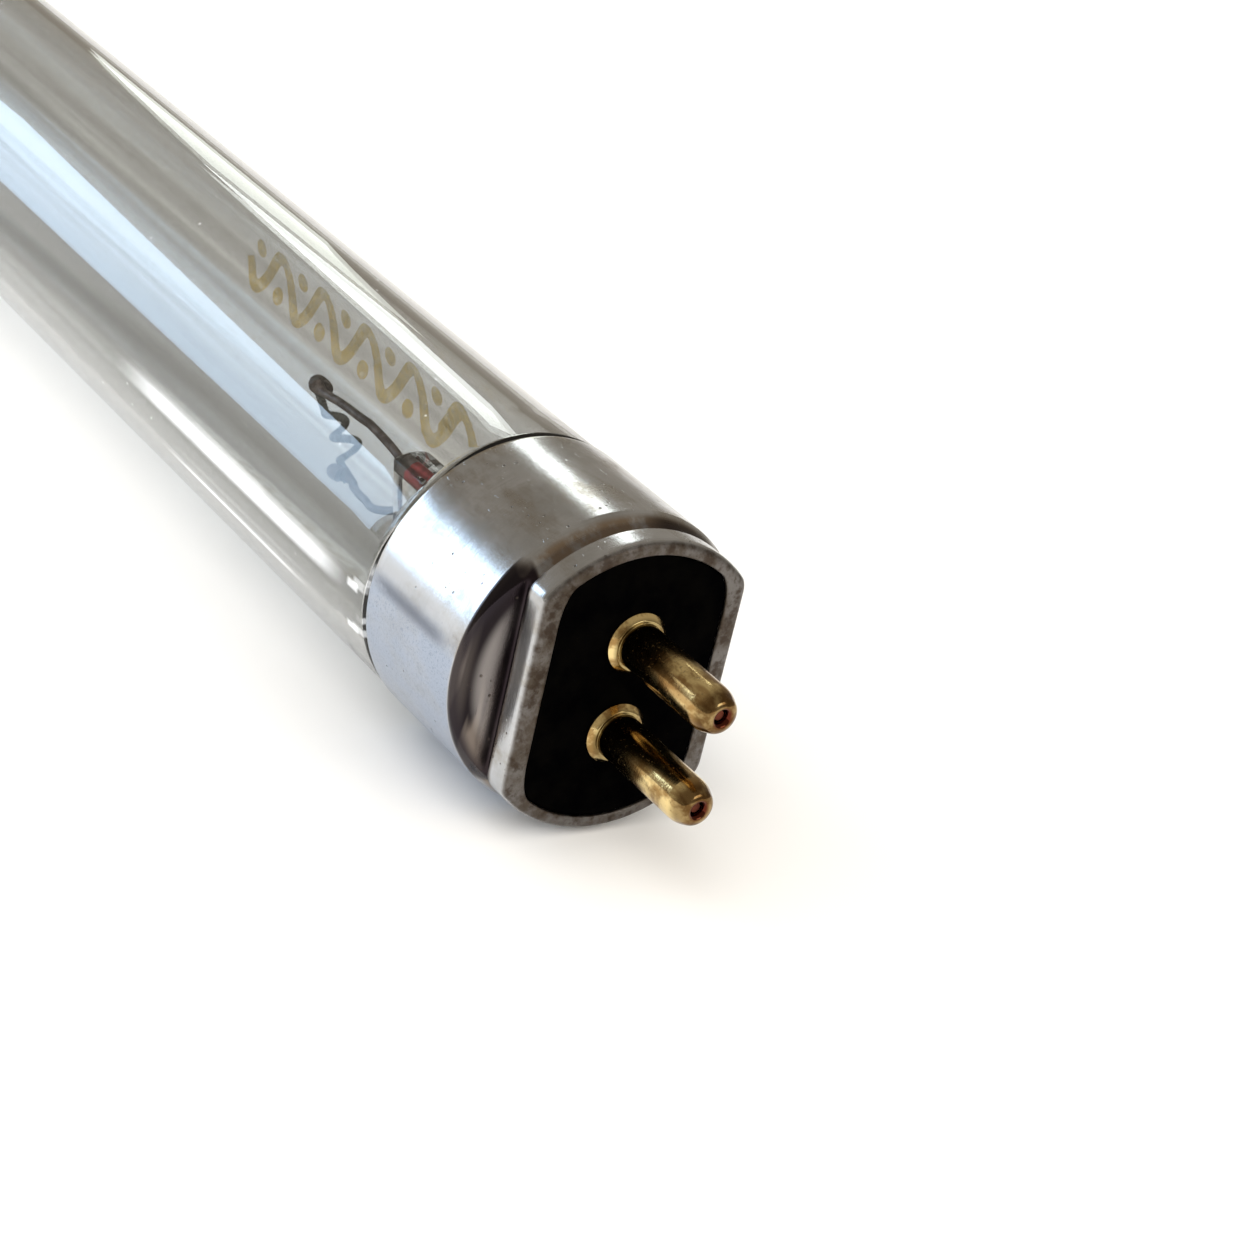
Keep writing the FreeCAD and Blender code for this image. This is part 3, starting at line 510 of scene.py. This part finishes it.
# %% One finish for each slot
FINISHES = {
    "tube_glass": make_glass("tube_glass", (0.51, 0.51, 0.50), (0.68, 0.685, 0.675),
                             (0.93, 0.935, 0.94), wave=0.025, shine=0.8, ior=1.5),
    "stem_glass": make_glass("stem_glass", (0.93, 0.93, 0.925), (0.98, 0.985, 0.98),
                             (0.97, 0.97, 0.97), wave=0.3, shine=0.0, ior=1.46),
    "mercury": make_wire("mercury", (0.85, 0.85, 0.86), (0.78, 0.78, 0.80), 0.02),
    "cap_aluminium": make_aluminium(),
    "black_insulator": make_powder("black_insulator", (0.0006, 0.0006, 0.0008), (0.002, 0.0018, 0.0016),
                                   0.6, 0.34, 0.02, Specular_IOR_Level=0.0),
    "pin_brass": make_brass(),
    "filament": make_powder("filament_coat", (0.035, 0.037, 0.034), (0.10, 0.105, 0.095), 2.0, 0.62, 0.04),
    "lead_nickel": make_wire("lead_nickel", (0.20, 0.165, 0.15), (0.075, 0.058, 0.052), 0.34),
    "seal_copper": make_wire("seal_copper", (0.44, 0.06, 0.06), (0.20, 0.028, 0.03), 0.30),
    # The copper leads sit in the pin bores, and their colour is darkened as painted shade.
    "lead_copper": make_wire("lead_copper", (0.20, 0.06, 0.035), (0.10, 0.03, 0.02), 0.36),
    "cement": make_powder("cement", (0.60, 0.54, 0.42), (0.72, 0.67, 0.56), 1.5, 0.75, 0.08),
}
for entry in frame["record"]["subparts"]:
    node = frame["nodes"][entry["node"]]
    node.data.materials.clear()
    node.data.materials.append(FINISHES[entry["material_slot"]])
print("finishes:", len(FINISHES))

# %% [markdown]
# ## Rings, lathes and sweeps
# Nearly everything on a lamp is round, pressed or bent wire. One helper skins a stack of rings into a
# surface, and the others only work out the rings. Sizes are in millimetres, in the frame of the piece.

# %% Where the pieces sit
CAP_FACE = 144.0
MIDDLE = Matrix.Identity(4)
ENDS = {
    "near": Matrix.Translation((CAP_FACE * MM, 0, 0)),
    "far": Matrix.Translation((-CAP_FACE * MM, 0, 0)) @ Matrix.Rotation(math.pi, 4, "Z"),
}
SIDES = {"upper": MIDDLE, "lower": Matrix.Rotation(math.pi, 4, "X")}
MOUNT_TURN = Matrix.Rotation(math.radians(10.0), 4, "X")
PIN_LIFT = Matrix.Translation((0, 0, 2.375 * MM))
print("caps face outwards at", CAP_FACE, "mm from the middle")

# %% Skin a stack of rings


def skin(name, shells, sharp=40.0):
    """A mesh of shells. Each is (rings, looped), and looped joins the last ring to the first."""
    work = bmesh.new()
    for rings, looped in shells:
        rows = [[work.verts.new(point * MM) for point in ring] for ring in rings]
        followers = rows[1:] + rows[:1] if looped else rows[1:]
        for one, other in zip(rows, followers):
            count = len(one)
            for k in range(count):
                following = (k + 1) % count
                work.faces.new((one[k], one[following], other[following], other[k]))
    bmesh.ops.remove_doubles(work, verts=work.verts, dist=1e-8)
    bmesh.ops.recalc_face_normals(work, faces=work.faces)
    mesh = bpy.data.meshes.new(name)
    work.to_mesh(mesh)
    work.free()
    mesh.shade_smooth()
    mesh.set_sharp_from_angle(angle=math.radians(sharp))
    return mesh


def show(name, mesh, place, slot, node=None):
    """Put a mesh on the lamp as one piece, in place of the CAD node it stands for."""
    piece = bpy.data.objects.new(name, mesh)
    bpy.context.scene.collection.objects.link(piece)
    piece.matrix_world = place
    if not mesh.materials:
        mesh.materials.append(FINISHES[slot])
    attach(piece, "root")
    if node:
        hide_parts(node)
    return piece


# %% Lathe and sweep


def around(columns):
    return np.linspace(0.0, 2 * math.pi, columns, endpoint=False)


def ring(x, distance, columns):
    """A ring across X. The distance from the axis is one number, or one for each column."""
    angles = around(columns)
    distance = np.broadcast_to(distance, angles.shape)
    return [Vector((x, r * math.cos(a), r * math.sin(a))) for a, r in zip(angles, distance)]


def lathe(profile, columns):
    return [ring(x, r, columns) for x, r in profile]


def rounded(corners, steps=6):
    """The closed outline through corners of (along, out, radius), each turned into an arc."""
    points = []
    count = len(corners)
    for k, (along, out, radius) in enumerate(corners):
        here = Vector((along, out))
        if radius == 0:
            points.append((along, out))
            continue
        back = Vector(corners[k - 1][:2]) - here
        ahead = Vector(corners[(k + 1) % count][:2]) - here
        reach = min(radius, back.length * 0.45, ahead.length * 0.45)
        start, end = here + back.normalized() * reach, here + ahead.normalized() * reach
        for step in range(steps + 1):
            t = step / steps
            point = start * (1 - t) ** 2 + here * 2 * t * (1 - t) + end * t ** 2
            points.append((point.x, point.y))
    return points


def smooth_path(points, steps=10):
    """A soft curve through the points."""
    points = [Vector(p) for p in points]
    padded = [points[0] * 2 - points[1]] + points + [points[-1] * 2 - points[-2]]
    path = []
    for a, b, c, d in zip(padded, padded[1:], padded[2:], padded[3:]):
        for step in range(steps):
            t = step / steps
            path.append(0.5 * (b * 2 + (c - a) * t + (a * 2 - b * 5 + c * 4 - d) * t ** 2
                               + (b * 3 - a - c * 3 + d) * t ** 3))
    return path + [points[-1]]


def sweep(path, thickness, columns):
    """Rings of a wire along a path. The thickness is a radius, or one for each point."""
    count = len(path)
    radii = np.broadcast_to(thickness, (count,))
    rings = [[path[0]] * columns]
    side = None
    for k, point in enumerate(path):
        along = (path[min(k + 1, count - 1)] - path[max(k - 1, 0)]).normalized()
        side = along.orthogonal() if side is None else side - along * side.dot(along)
        side.normalize()
        other = along.cross(side)
        rings.append([point + (side * math.cos(a) + other * math.sin(a)) * radii[k]
                      for a in around(columns)])
    return rings + [[path[-1]] * columns]


# %% [markdown]
# ## The tube
# A drawn glass tube with a 0.8 mm wall, pulled down to a narrower neck inside each cap. A cylinder with
# a thickness added would do for the straight part. One closed profile turned round the axis gives the
# neck too, and both walls, so light bends at the inside as well as the outside.

# %% Glass tube
TUBE_RADIUS, WALL, NECK_RADIUS = 7.7, 0.8, 7.1
SHOULDER, NECK, TUBE_END = 132.6, 133.6, 138.1


def shoulder_radius(x):
    t = min(max((abs(x) - SHOULDER) / (NECK - SHOULDER), 0.0), 1.0)
    return TUBE_RADIUS + (NECK_RADIUS - TUBE_RADIUS) * t * t * (3 - 2 * t)


stations = [TUBE_END, 136.0, *np.linspace(NECK, SHOULDER, 13), *np.linspace(SHOULDER - 3.0, 0.0, 24)]
stations = stations + [-x for x in reversed(stations[:-1])]
outside = [(x, shoulder_radius(x)) for x in stations]
inside = [(x, shoulder_radius(x) - WALL) for x in reversed(stations)]
tube = skin("glass_tube_drawn", [(lathe(outside + inside, 256), True)], 60.0)
show("glass_tube_drawn", tube, MIDDLE, "tube_glass", "glass_tube")
print("tube faces:", len(tube.polygons))

# %% [markdown]
# ## The cap
# A press draws the cap as a round cup, squeezes two sides flat against the insulator and rolls the lip
# over it. A cylinder with two cuts would leave hard edges where the sheet flows. Its sections are
# circles with two flats, softly joined, so a circle, a pair of flats and a softness given along the cap
# make the whole shape, crease and rolled lip included.

# %% Sections of the cap
COLUMNS = 320
SKIRT_RADIUS, GROOVE_RADIUS, LIP_RADIUS = 7.8, 7.2, 7.55
OPEN_FLAT, GROOVE_FLAT, LIP_FLAT = 8.6, 5.3, 5.65
ROUND = [(-11.0, SKIRT_RADIUS), (-2.75, SKIRT_RADIUS), (-1.75, GROOVE_RADIUS), (-1.56, GROOVE_RADIUS),
         (-1.48, LIP_RADIUS), (0.0, LIP_RADIUS)]
FLATS = [(-11.0, OPEN_FLAT), (-2.98, OPEN_FLAT), (-2.05, GROOVE_FLAT), (-1.58, GROOVE_FLAT),
         (-1.48, LIP_FLAT), (0.0, LIP_FLAT)]
SOFT = [(-11.0, 0.12), (-2.4, 0.14), (-1.9, 0.30), (0.0, 0.36)]
WORN = np.linspace(-0.07, 0.07, 9)


def outline(radius, half_flat, softness, columns=COLUMNS):
    """Distance from the axis, all the way round, of a circle with flats at +Y and -Y."""
    flat = half_flat / np.maximum(np.abs(np.cos(around(columns))), 1e-6)
    overlap = np.maximum(softness - np.abs(radius - flat), 0.0) / softness
    return np.minimum(radius, flat) - overlap ** 2 * softness / 4


def read(table, x):
    """A value from a table along the cap, with its corners worn round."""
    places, values = zip(*table)
    return float(np.mean(np.interp(x + WORN, places, values)))


def cap_ring(x, inset):
    wall = outline(read(ROUND, x) - inset, read(FLATS, x) - inset, read(SOFT, x))
    return ring(x, wall, COLUMNS)


# %% Cap shell
SHEET = 0.3
LIP_ROUND, LIP_SOFT = 0.4, 0.3
WINDOW_RADIUS, WINDOW_FLAT, WINDOW_SOFT, WINDOW_BREAK = 6.85, 4.6, 1.1, 0.08
RIM = [(-10.84, 7.51), (-10.89, 7.55), (-10.90, 7.62), (-10.88, 7.69), (-10.82, 7.76), (-10.74, 7.795)]
OUTSIDE = [*np.linspace(-10.6, -3.1, 12), *np.arange(-3.04, -1.36, 0.03), -1.2, -0.9, -0.6]
INSIDE = [-0.31, -0.6, -1.2, -1.56, -1.8, -2.1, -2.3, -2.6, -2.9, -4.0, -8.0, -10.8]
window = outline(WINDOW_RADIUS, WINDOW_FLAT, WINDOW_SOFT)
lip = outline(LIP_RADIUS - LIP_ROUND, LIP_FLAT - LIP_ROUND, LIP_SOFT)

rows = [ring(x, radius, COLUMNS) for x, radius in RIM]
rows += [cap_ring(x, 0.0) for x in OUTSIDE]
for turn in np.linspace(0.0, math.pi / 2, 8):
    inset = LIP_ROUND * (1 - math.cos(turn))
    edge = outline(LIP_RADIUS - inset, LIP_FLAT - inset, LIP_SOFT + 0.06 * (1 - math.sin(turn)))
    rows.append(ring(-LIP_ROUND * (1 - math.sin(turn)), edge, COLUMNS))
for share in (0.3, 0.6, 0.85):
    rows.append(ring(0.0, lip * (1 - share) + (window + WINDOW_BREAK) * share, COLUMNS))
for x, inset in ((0.0, WINDOW_BREAK), (-0.025, 0.025), (-WINDOW_BREAK, 0.0), (-0.28, 0.0)):
    rows.append(ring(x, window + inset, COLUMNS))
rows += [cap_ring(x, SHEET) for x in INSIDE]
cap = skin("cap_shell", [(rows, True)], 50.0)
for end, place in ENDS.items():
    show(end + "_cap_shell_pressed", cap, place, "cap_aluminium", end + "_cap_shell")
print("cap faces:", len(cap.polygons))

# %% [markdown]
# ## Insulator plate and pins
# The black plate fills the window in the lip. Its field stands proud of the rim that the lip holds, and
# ends just behind the face of the cap. The pins are rolled from brass sheet, with a bevelled collar and
# a crimped, dimpled end. The plate is a stack of rings with the section of the window, and a pin is a
# profile turned round its axis. Both have their edges broken, because a perfectly sharp edge never
# catches the light.

# %% Insulator plate
PLATE_GAP, PLATE_BACK, PLATE_SEAT, PLATE_FIELD, PLATE_BREAK = 0.06, -1.0, -0.32, -0.12, 0.05
plate_window = outline(WINDOW_RADIUS - PLATE_GAP, WINDOW_FLAT - PLATE_GAP, WINDOW_SOFT)
plate_edge = outline(LIP_RADIUS - SHEET - PLATE_GAP, LIP_FLAT - SHEET - PLATE_GAP, LIP_SOFT)
sections = [(PLATE_BACK, 0.0), (PLATE_BACK, plate_edge), (PLATE_SEAT, plate_edge),
            (PLATE_SEAT, plate_window), (PLATE_FIELD - 0.04, plate_window),
            (PLATE_FIELD, plate_window - PLATE_BREAK), (PLATE_FIELD, plate_window * 0.6), (PLATE_FIELD, 0.0)]
rows = lathe(sections, COLUMNS)
plate = skin("insulator_plate", [(rows, False)], 30.0)
for end, place in ENDS.items():
    show(end + "_insulator_plate_moulded", plate, place, "black_insulator", end + "_insulator_plate")
print("plate faces:", len(plate.polygons))

# %% Contact pins
PIN_RADIUS, COLLAR_RADIUS, RIVET_RADIUS = 1.15, 1.575, 1.55
WAIST_RADIUS, BORE_RADIUS, DIMPLE_RADIUS = 0.9, 0.72, 0.3
PIN_BACK, PIN_REACH = -1.3, 7.1
corners = [(PIN_BACK, BORE_RADIUS, 0), (PIN_BACK, RIVET_RADIUS, 0.05), (-1.0, RIVET_RADIUS, 0),
           (-1.0, WAIST_RADIUS, 0), (-0.12, WAIST_RADIUS, 0), (-0.12, COLLAR_RADIUS, 0),
           (-0.02, COLLAR_RADIUS, 0.04), (0.26, COLLAR_RADIUS - 0.28, 0.05), (0.26, PIN_RADIUS, 0.04),
           (6.25, PIN_RADIUS, 0.5), (6.95, 0.86, 0.3), (PIN_REACH, 0.50, 0.16), (6.88, DIMPLE_RADIUS, 0.12),
           (6.2, DIMPLE_RADIUS, 0), (6.2, BORE_RADIUS, 0)]
pin = skin("contact_pin", [(lathe(rounded(corners), 96), True)], 32.0)
for end, place in ENDS.items():
    for side, flip in SIDES.items():
        name = end + "_" + side + "_contact_pin"
        show(name + "_rolled", pin, place @ flip @ PIN_LIFT, "pin_brass", name)
print("pin faces:", len(pin.polygons))

# %% [markdown]
# ## The stem
# A glass tube is flared to meet the neck, and its other end is softened and pinched flat round the two
# leads. A thin exhaust tube runs down inside. It could be a block joined to a tube, but glass shows
# every seam, so one skin goes from two flats at the pinch to a circle at the tube. Both tubes are
# hollow, because their double edges are what makes glass read as glass.

# %% Stem glass
STEM_COLUMNS = 96
STEM_SOFT = 0.2
PINCH_TOP, PINCH_HALF, PINCH_FLAT, PINCH_ROUND = -20.5, 2.4, 1.05, 0.45
FLARE = [(-10.1, 2.7), (-9.2, 2.85), (-8.2, 3.4), (-7.2, 4.4), (-6.5, 5.4), (-5.95, 6.2), (-5.9, 7.0),
         (-5.7, 7.1), (-5.3, 7.1), (-5.1, 6.9), (-5.15, 5.9), (-6.1, 4.9), (-7.2, 3.5), (-8.6, 2.6),
         (-10.1, 2.2)]
STEM_FLOOR = [(-13.0, 2.2), (-14.6, 2.2), (-15.3, 1.9), (-15.6, 1.2), (-15.65, 0.0)]
EXHAUST = [(-15.2, 0.0), (-15.3, 0.5), (-15.2, 0.95), (-14.8, 1.0), (-5.4, 1.0), (-4.2, 0.9), (-3.3, 0.4),
           (-2.9, 0.0), (-3.5, 0.0), (-4.4, 0.45), (-5.6, 0.65), (-14.6, 0.65), (-14.7, 0.0)]


def stem_ring(x, radius, half_flat):
    return ring(x, outline(radius, half_flat, STEM_SOFT, STEM_COLUMNS), STEM_COLUMNS)


rows = [ring(PINCH_TOP, 0.0, STEM_COLUMNS)]
for turn in np.linspace(0.15, math.pi / 2, 7):
    inset = PINCH_ROUND * (1 - math.sin(turn))
    rows.append(stem_ring(PINCH_TOP + 0.4 * (1 - math.cos(turn)), PINCH_HALF - inset, PINCH_FLAT - inset))
for x in np.linspace(PINCH_TOP + 0.7, PINCH_TOP + 6.1, 20):
    t = min(max((x - PINCH_TOP - 2.7) / 3.2, 0.0), 1.0)
    swell = t * t * (3 - 2 * t)
    rows.append(stem_ring(x, PINCH_HALF + 0.3 * swell, PINCH_FLAT + 1.75 * swell))
rows += lathe([(-13.0, 2.7), *FLARE, *STEM_FLOOR], STEM_COLUMNS)
exhaust = lathe(EXHAUST, 48)
stem = skin("stem_glass", [(rows, False), (exhaust, False)], 60.0)
stem.transform(MOUNT_TURN)
for end, place in ENDS.items():
    show(end + "_stem_glass_pressed", stem, place, "stem_glass", end + "_stem_glass")
print("stem faces:", len(stem.polygons))

# %% [markdown]
# ## Leads and filament
# Each nickel lead bows out of the pinch, and its end is folded over the filament and squeezed, which
# leaves a knob. The filament is a tungsten strand, itself a fine coil, wound in two large open turns
# and dipped in oxide. A curve with a round bevel could be each wire, but rings swept along a path can
# also swell at the knob, and they give the strand its fine turns as a ripple in its thickness.

# %% Inner leads
LEAD_OFFSET, LEAD_START = 1.4, -19.7
LEAD_RADIUS, KNOB_EXTRA = 0.23, 0.20
HOOKS = {"upper": (-30.25, 1.25), "lower": (-27.15, 2.35)}
BOWS = {"upper": 1.8, "lower": 2.9}
FOLD = [(0.10, 0.02, 0.02), (-0.26, 0.06, 0.10), (-0.44, 0.30, 0.02), (-0.16, 0.46, -0.12),
        (0.20, 0.34, -0.10)]
for side, (hook_x, hook_z) in HOOKS.items():
    bow = BOWS[side]
    rise = [(LEAD_START, 0, LEAD_OFFSET), (PINCH_TOP, 0, LEAD_OFFSET), (-21.2, 0, LEAD_OFFSET + 0.05),
            (-22.6, 0.05, (LEAD_OFFSET + bow) / 2 + 0.02), (-24.3, 0, bow + 0.02), (-25.3, -0.05, bow),
            ((hook_x - 25.0) / 2, 0, (bow + hook_z) / 2 + 0.05), (hook_x + 0.9, 0.0, hook_z + 0.05)]
    path = smooth_path(rise + [(hook_x + x, y, hook_z + z) for x, y, z in FOLD])
    share = np.linspace(0.0, 1.0, len(path))
    thick = LEAD_RADIUS + KNOB_EXTRA * np.clip((share - 0.60) / 0.10, 0.0, 1.0)
    wire = skin(side + "_inner_lead", [(sweep(path, thick, 20), False)], 60.0)
    for end, place in ENDS.items():
        name = end + "_" + side + "_inner_lead"
        show(name + "_bent", wire, place @ MOUNT_TURN @ SIDES[side], "lead_nickel", name)
    print(side, "lead faces:", len(wire.polygons))

# %% Filament coil
HOOK_SPREAD, HOOK_TILT = 3.6, 1.55
COIL_X, COIL_Z, COIL_ROLL = -28.7, -0.55, 57.0
TURN_RADIUS, PITCH, TURNS, COIL_DROP = 0.52, 1.3, 2.0, 0.35
STRAND, LEG, FINE_PITCH = 0.20, 0.25, 0.17
leg = math.hypot(HOOK_SPREAD, 2 * HOOK_TILT) / 2 + 0.5
half = PITCH * TURNS / 2
path = [Vector((0, 0, z)) for z in np.linspace(-leg, -half - COIL_DROP - 0.15, 6)]
for turn in np.linspace(0.0, 2 * math.pi * TURNS, 150):
    reach = TURN_RADIUS * (1 + 0.15 * math.sin(turn * 0.43 + 0.6))
    path.append(Vector((reach * (1 - math.cos(turn)), reach * math.sin(turn),
                        -half - COIL_DROP + PITCH * turn / (2 * math.pi))))
path += [Vector((0, 0, z)) for z in np.linspace(half - COIL_DROP + 0.15, leg, 12)]
fine_path = smooth_path(path, 3)
along = np.cumsum([0.0] + [(b - a).length for a, b in zip(fine_path, fine_path[1:])])
near_hook = np.clip((along - along[-1] + 2.2) / 0.5, 0.0, 1.0)
strand = STRAND + (LEG - STRAND) * near_hook
strand = strand * (1.0 + 0.10 * np.sin(2 * math.pi * along / FINE_PITCH) + 0.12 * np.sin(along * 1.9 + 0.5))
coil = skin("filament_coil", [(sweep(fine_path, strand, 14), False)], 60.0)
lean = -math.atan(2 * HOOK_TILT / HOOK_SPREAD)
coil_place = (MOUNT_TURN @ Matrix.Translation((COIL_X * MM, 0, COIL_Z * MM)) @ Matrix.Rotation(lean, 4, "Y")
              @ Matrix.Rotation(math.radians(COIL_ROLL), 4, "Z"))
for end, place in ENDS.items():
    show(end + "_filament_coil_wound", coil, place @ coil_place, "filament", end + "_filament_coil")
print("filament faces:", len(coil.polygons))

# %% Seal wires
route = [(LEAD_START, 0, LEAD_OFFSET), (-18.0, 0.02, LEAD_OFFSET + 0.02), (-16.2, 0, LEAD_OFFSET),
         (-14.5, 0, LEAD_OFFSET)]
seal = skin("seal_wire", [(sweep(smooth_path(route), LEAD_RADIUS, 20), False)])
for end, place in ENDS.items():
    for side, flip in SIDES.items():
        name = end + "_" + side + "_seal_wire"
        show(name + "_clad", seal, place @ MOUNT_TURN @ flip, "seal_copper", name)
print("seal wire faces:", len(seal.polygons))

# %% [markdown]
# ## Ink on the tube
# A band of ochre ink runs along the glass behind the near cap: a plain wave with a disc in each of its
# bends but the last, worn thin in places. It could be an image wrapped on the glass, but a ribbon of faces
# keeps a crisp edge from any distance and stays a piece of its own. It lies as a thin skin on the glass.

# %% Ochre wave and discs
FINISHES["ink"] = make_ink()
INK_RADIUS = TUBE_RADIUS + 0.015
INK_LINE = 12.2
WAVE_START, WAVE_END, WAVE_LENGTH, WAVE_HEIGHT, STROKE = 92.0, 118.0, 5.2, 1.55, 0.9
DISC_RADIUS, DISC_OFFSET = 0.6, 1.1


def on_glass(x, across):
    """A point of the ink, from millimetres along and across the glass."""
    turn = across / INK_RADIUS
    return Vector((x, INK_RADIUS * math.sin(turn), INK_RADIUS * math.cos(turn))) * MM


def add_ribbon(work, line, width):
    """A band of ink that follows a line of (along, across) places."""
    line = [Vector((*p, 0)) for p in line]
    previous = None
    for k, point in enumerate(line):
        ahead = (line[min(k + 1, len(line) - 1)] - line[max(k - 1, 0)]).normalized()
        normal = Vector((-ahead.y, ahead.x, 0)) * width / 2
        edge = [work.verts.new(on_glass(*p.xy)) for p in (point - normal, point, point + normal)]
        if previous:
            work.faces.new((previous[0], previous[1], edge[1], edge[0]))
            work.faces.new((previous[1], previous[2], edge[2], edge[1]))
        previous = edge


def add_disc(work, x, across, radius, sides=28):
    middle = work.verts.new(on_glass(x, across))
    rim = [work.verts.new(on_glass(x + radius * math.cos(a), across + radius * math.sin(a)))
           for a in around(sides)]
    for k in range(sides):
        work.faces.new((middle, rim[k], rim[(k + 1) % sides]))


work = bmesh.new()
wave = [(x, INK_LINE + WAVE_HEIGHT * math.sin(2 * math.pi * (x - WAVE_START) / WAVE_LENGTH))
        for x in np.linspace(WAVE_START, WAVE_END, 260)]
add_ribbon(work, wave, STROKE)
bends = int((WAVE_END - WAVE_START) / WAVE_LENGTH * 2) - 1
for bend in range(bends):
    side = 1 if bend % 2 else -1
    add_disc(work, WAVE_START + (bend + 0.5) * WAVE_LENGTH / 2, INK_LINE + side * DISC_OFFSET, DISC_RADIUS)
ink = bpy.data.meshes.new("ochre_wave")
work.to_mesh(ink)
work.free()
ink.shade_smooth()
ink.materials.append(FINISHES["ink"])
show("ochre_wave", ink, MIDDLE, "tube_glass")
print("ink faces:", len(ink.polygons), "discs:", bends)

# %% [markdown]
# ## Floor
# The lamp lies on a plain pale sheet. It is one flat grid that is large enough to fill the view, with
# the faintest unevenness in its colour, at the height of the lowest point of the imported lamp.

# %% Floor
floor_z = cad_box[0][2]
work = bmesh.new()
bmesh.ops.create_grid(work, x_segments=4, y_segments=4, size=2.0)
bmesh.ops.translate(work, verts=work.verts, vec=(0, 0, floor_z))
ground = bpy.data.meshes.new("floor")
work.to_mesh(ground)
work.free()
pale = Finish("pale_floor", Roughness=0.9, Specular_IOR_Level=0.2)
unevenness = pale.noise(pale.place(), 0.02)
pale.set("Base Color", pale.blend(unevenness, (0.905, 0.91, 0.91), (0.92, 0.922, 0.92)))
ground.materials.append(pale.material)
floor = bpy.data.objects.new("floor", ground)
bpy.context.scene.collection.objects.link(floor)
print("floor at", round(floor_z / MM, 2), "mm")
